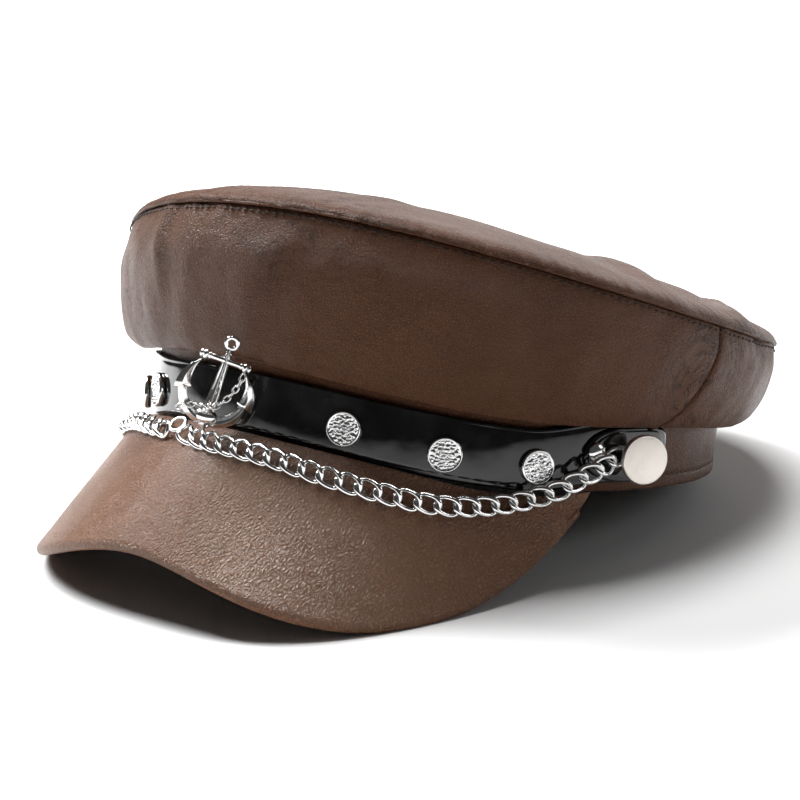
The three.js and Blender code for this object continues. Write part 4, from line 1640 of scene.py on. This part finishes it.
# ------------------------------------------------------------------ badge
@dataclass
class AnchorBadge:
    """Cast anchor on the front of the strap, with its fine chain.

    Attributes:
        turn: Turn about the upright, towards the wearer's left, in degrees.
        lean: How far its top stands out, in degrees.
        tilt: How far its eye leans to the wearer's left, in degrees.
        out: Distance of its middle off the band.
        x: Place of its middle to the wearer's left.
        z: Height of its middle.
    """

    turn: float = 38.0
    lean: float = 12.0
    tilt: float = 15.5
    out: float = 10.8
    x: float = 3.6
    z: float = 23.4

    def frame(self) -> Matrix:
        """Frame of the badge: x to the wearer's left, y up, z to the front."""
        front = Matrix(((1, 0, 0), (0, 0, -1), (0, 1, 0))).to_4x4()
        return (
            Matrix.Translation((self.x, -BAND_HALF_DEPTH - self.out, self.z))
            @ Matrix.Rotation(math.radians(self.turn), 4, "Z")
            @ front
            @ Matrix.Rotation(math.radians(self.lean), 4, "X")
            @ Matrix.Rotation(math.radians(-self.tilt), 4, "Z")
        )

    @staticmethod
    def bar(
        bm: Mesh, knots: Sequence[tuple[float, float, float, float]], sides: int, steps: int
    ) -> None:
        """Adds a tapered bar with a ridge in front.

        Args:
            bm: Mesh that it is added to.
            knots: Across, up, half width and half depth along it.
            sides: Sides of its section.
            steps: Faces along it.
        """
        line = [Vector((x, y, 0)) for x, y, _, _ in knots]
        size = [Vector((w, d, 0)) for _, _, w, d in knots]

        def point(p: float, q: float) -> Vector:
            spot = smooth_curve(line, p)
            along = (smooth_curve(line, min(1, p + 0.01)) - smooth_curve(line, max(0, p - 0.01))).normalized()
            side = Vector((-along.y, along.x, 0))
            wide = smooth_curve(size, p)
            ring = q * math.tau
            return spot + side * wide.x * math.cos(ring) + Vector((0, 0, wide.y * math.sin(ring)))

        surface(steps, sides, point, Ring.TUBE, into=bm)

    def body(self) -> None:
        """Builds the anchor."""
        bm = bmesh.new()
        shank = ((0, -11.5, 2.1, 1.7), (0, -3, 1.75, 1.55), (0, 5, 1.3, 1.35), (0, 12.4, 1.05, 1.1))
        self.bar(bm, shank, 4, 12)
        for s in (-1, 1):
            self.bar(
                bm,
                (
                    (-s * 0.8, -12.2, 2.0, 1.7),
                    (s * 3.8, -11.5, 1.9, 1.6),
                    (s * 7.6, -8.8, 1.7, 1.4),
                    (s * 9.7, -4.8, 1.4, 1.2),
                    (s * 10.2, -1.6, 1.1, 1.0),
                ),
                4,
                20,
            )
            self.bar(
                bm,
                (
                    (s * 9.9, -4.2, 2.7, 0.5),
                    (s * 10.2, -3.2, 2.35, 1.3),
                    (s * 10.1, 0.0, 1.75, 1.15),
                    (s * 9.0, 3.2, 1.0, 0.8),
                    (s * 7.2, 6.2, 0.08, 0.1),
                ),
                4,
                16,
            )
            for x, r in ((5.0, 1.15), (6.3, 1.65), (7.6, 1.3)):
                bmesh.ops.create_uvsphere(
                    bm,
                    u_segments=20,
                    v_segments=14,
                    radius=r,
                    matrix=Matrix.Translation((s * x, 8.4, 0)) @ Matrix.Diagonal((0.6, 1, 1, 1)),
                )
        rod = Matrix.Translation((0, 8.4, 0)) @ Matrix.Rotation(math.radians(90), 4, "Y")
        cone = bmesh.ops.create_cone
        cone(bm, cap_ends=True, segments=20, radius1=0.95, radius2=0.95, depth=12.4, matrix=rod)
        boss = Matrix.Translation((0, -10.6, 0.4)) @ Matrix.Diagonal((1.25, 0.8, 0.8, 1))
        bmesh.ops.create_uvsphere(bm, u_segments=24, v_segments=16, radius=2.9, matrix=boss)
        point = Matrix.Translation((0, -13.9, 0)) @ Matrix.Diagonal((1.3, 1, 0.6, 1))
        point = point @ Matrix.Rotation(math.radians(90), 4, "X")
        cone(bm, cap_ends=True, segments=4, radius1=2.6, radius2=0.1, depth=2.8, matrix=point)
        chain_link(4.9, 4.9, 1.45, 0.0, Matrix.Translation((0, 14.3, 0)), bm, 32)
        move(bm, self.frame())
        Piece("anchor_badge", SILVER, "silver_metal", replaces=("anchor",)).make(bm, round_over=0.22)

    def fine_chain(self) -> None:
        """Builds the fine chain draped over the badge."""
        front = 2.0
        knots = (
            (6.6, 6.6, 1.2),
            (6.0, 2.6, front),
            (3.6, -3.4, front),
            (-0.2, -7.2, 2.9),
            (-4.4, -7.4, 2.0),
            (-7.4, -9.4, 1.9),
            (-9.6, -11.0, 0.4),
        )
        run = Run([Vector(k) for k in knots], 300)
        bm = bmesh.new()
        count = round(run.length / 2.1)
        for i in range(count):
            spot, along = run.at((i + 0.5) * run.length / count)
            place = axes(along, UP, spot) @ Matrix.Rotation(math.radians(90 * (i % 2) + 20), 4, "X")
            chain_link(3.2, 2.2, 0.55, 0.0, place, bm, 18)
        move(bm, self.frame())
        Piece("anchor_fine_chain", CHAIN_SILVER, "silver_metal", replaces=("anchor_tether",)).make(bm)

    def rings(self) -> None:
        """Builds the ring that the chains hang from."""
        chains = Chains()
        bm = bmesh.new()
        spot = on_band(chains.ring_angle, chains.ring_out, chains.ring_z)
        place = Matrix.Translation(spot) @ Matrix.Rotation(math.radians(Visor().slope), 4, "X")
        chain_link(6.4, 6.4, 1.1, 0.0, place, bm, 32)
        Piece("chain_ring", SILVER, "silver_metal", replaces=("jump_ring",)).make(bm)

    def build(self) -> None:
        """Builds the badge and what hangs on it."""
        self.body()
        self.fine_chain()
        self.rings()


# ------------------------------------------------------------------ studio
@dataclass
class Studio:
    """Floor, lights and camera.

    Attributes:
        azimuth: Camera's angle round the cap's upright, in degrees.
        elevation: Its angle over the band's plane.
        roll: Its roll.
        distance: Its distance from the middle of the band in millimetres.
        focal: Focal length in widths of the frame.
        centre: Where the middle of the band lies in the frame, in shares of its width from the middle.
    """

    azimuth: float = 40.99
    elevation: float = 7.72
    roll: float = 5.28
    distance: float = 1016.0
    focal: float = 3054.9 / 800
    centre: tuple[float, float] = (36.39 / 800, 44.76 / 800)

    def camera(self) -> None:
        """Sets up the camera."""
        level = cosd(self.elevation)
        back = Vector((sind(self.azimuth) * level, -cosd(self.azimuth) * level, sind(self.elevation)))
        right = Vector((cosd(self.azimuth), sind(self.azimuth), 0))
        up = back.cross(right)
        r = right * cosd(self.roll) + up * sind(self.roll)
        u = up * cosd(self.roll) - right * sind(self.roll)
        lens = bpy.data.cameras.new("camera")
        lens.sensor_width = 36.0
        lens.lens = 36.0 * self.focal
        lens.shift_x = -self.centre[0]
        lens.shift_y = self.centre[1]
        lens.clip_end = 100.0
        thing = bpy.data.objects.new("camera", lens)
        bpy.context.scene.collection.objects.link(thing)
        turn = CAP.to_3x3().normalized()
        at = CAP @ (back * self.distance)
        facing = Matrix((turn @ r, turn @ u, turn @ back)).transposed().to_4x4()
        thing.matrix_world = Matrix.Translation(at) @ facing
        bpy.context.scene.camera = thing

    def light(self, name: str, at: Point, aim: Point, size: tuple[float, float], watts: float) -> None:
        """Hangs one soft light.

        Args:
            name: Its name.
            at: Its place in metres.
            aim: What it points at.
            size: Width and height of its face.
            watts: Its power.
        """
        lamp = bpy.data.lights.new(name, "AREA")
        lamp.shape = "RECTANGLE"
        lamp.size, lamp.size_y = size
        lamp.energy = watts
        thing = bpy.data.objects.new(name, lamp)
        bpy.context.scene.collection.objects.link(thing)
        away = Vector(at) - Vector(aim)
        thing.matrix_world = Matrix.Translation(at) @ away.to_track_quat("Z", "Y").to_matrix().to_4x4()

    def build(self) -> None:
        """Builds the studio."""
        bm = bmesh.new()
        bmesh.ops.create_grid(bm, x_segments=8, y_segments=8, size=15.0)
        mesh = bpy.data.meshes.new("floor")
        bm.to_mesh(mesh)
        bm.free()
        mesh.materials.append(FLOOR.material())
        floor = bpy.data.objects.new("floor", mesh)
        bpy.context.scene.collection.objects.link(floor)
        floor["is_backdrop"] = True
        world = bpy.data.worlds.new("studio")
        world.use_nodes = True
        world.node_tree.nodes["Background"].inputs["Color"].default_value = (1, 1, 1, 1)
        world.node_tree.nodes["Background"].inputs["Strength"].default_value = 0.05
        scene = bpy.context.scene
        scene.world = world
        scene.view_settings.view_transform = "Standard"
        self.light("overhead", (-0.2, 0.12, 1.4), (0, 0, 0), (0.6, 0.6), 19)
        self.light("left_wing", (-0.95, -0.02, 1.0), (0, -0.05, 0.05), (0.55, 0.55), 30)
        self.light("back_wall", (-0.6, 1.6, 0.5), (0, 0, 0.08), (1.6, 0.6), 7)
        self.light("right_wing", (1.2, 1.0, 0.6), (0, 0.05, 0.05), (0.6, 0.6), 3)
        self.camera()


def main() -> None:
    """Builds the cap and its studio."""
    logging.basicConfig(level=logging.INFO, format="%(name)s %(message)s")
    for kind in (Studio, Crown, HeadBand, Visor, Strap, Studs, SideButtons, Chains, AnchorBadge):
        part = kind()
        part.build()
        log.info("%s done", type(part).__name__)
    dress_nodes = {
        "visor_board": (BOARD, "visor_core"),
        "button_post_left": (SILVER, "silver_metal"),
        "button_post_right": (SILVER, "silver_metal"),
    }
    for name, (finish, slot) in dress_nodes.items():
        node = frame["nodes"][name]
        node.data.materials.clear()
        node.data.materials.append(finish.material())
    {"cad": [list(c) for c in CAD_BOX], "visual": [list(c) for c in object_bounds()]}


if __name__ == "__main__":
    main()
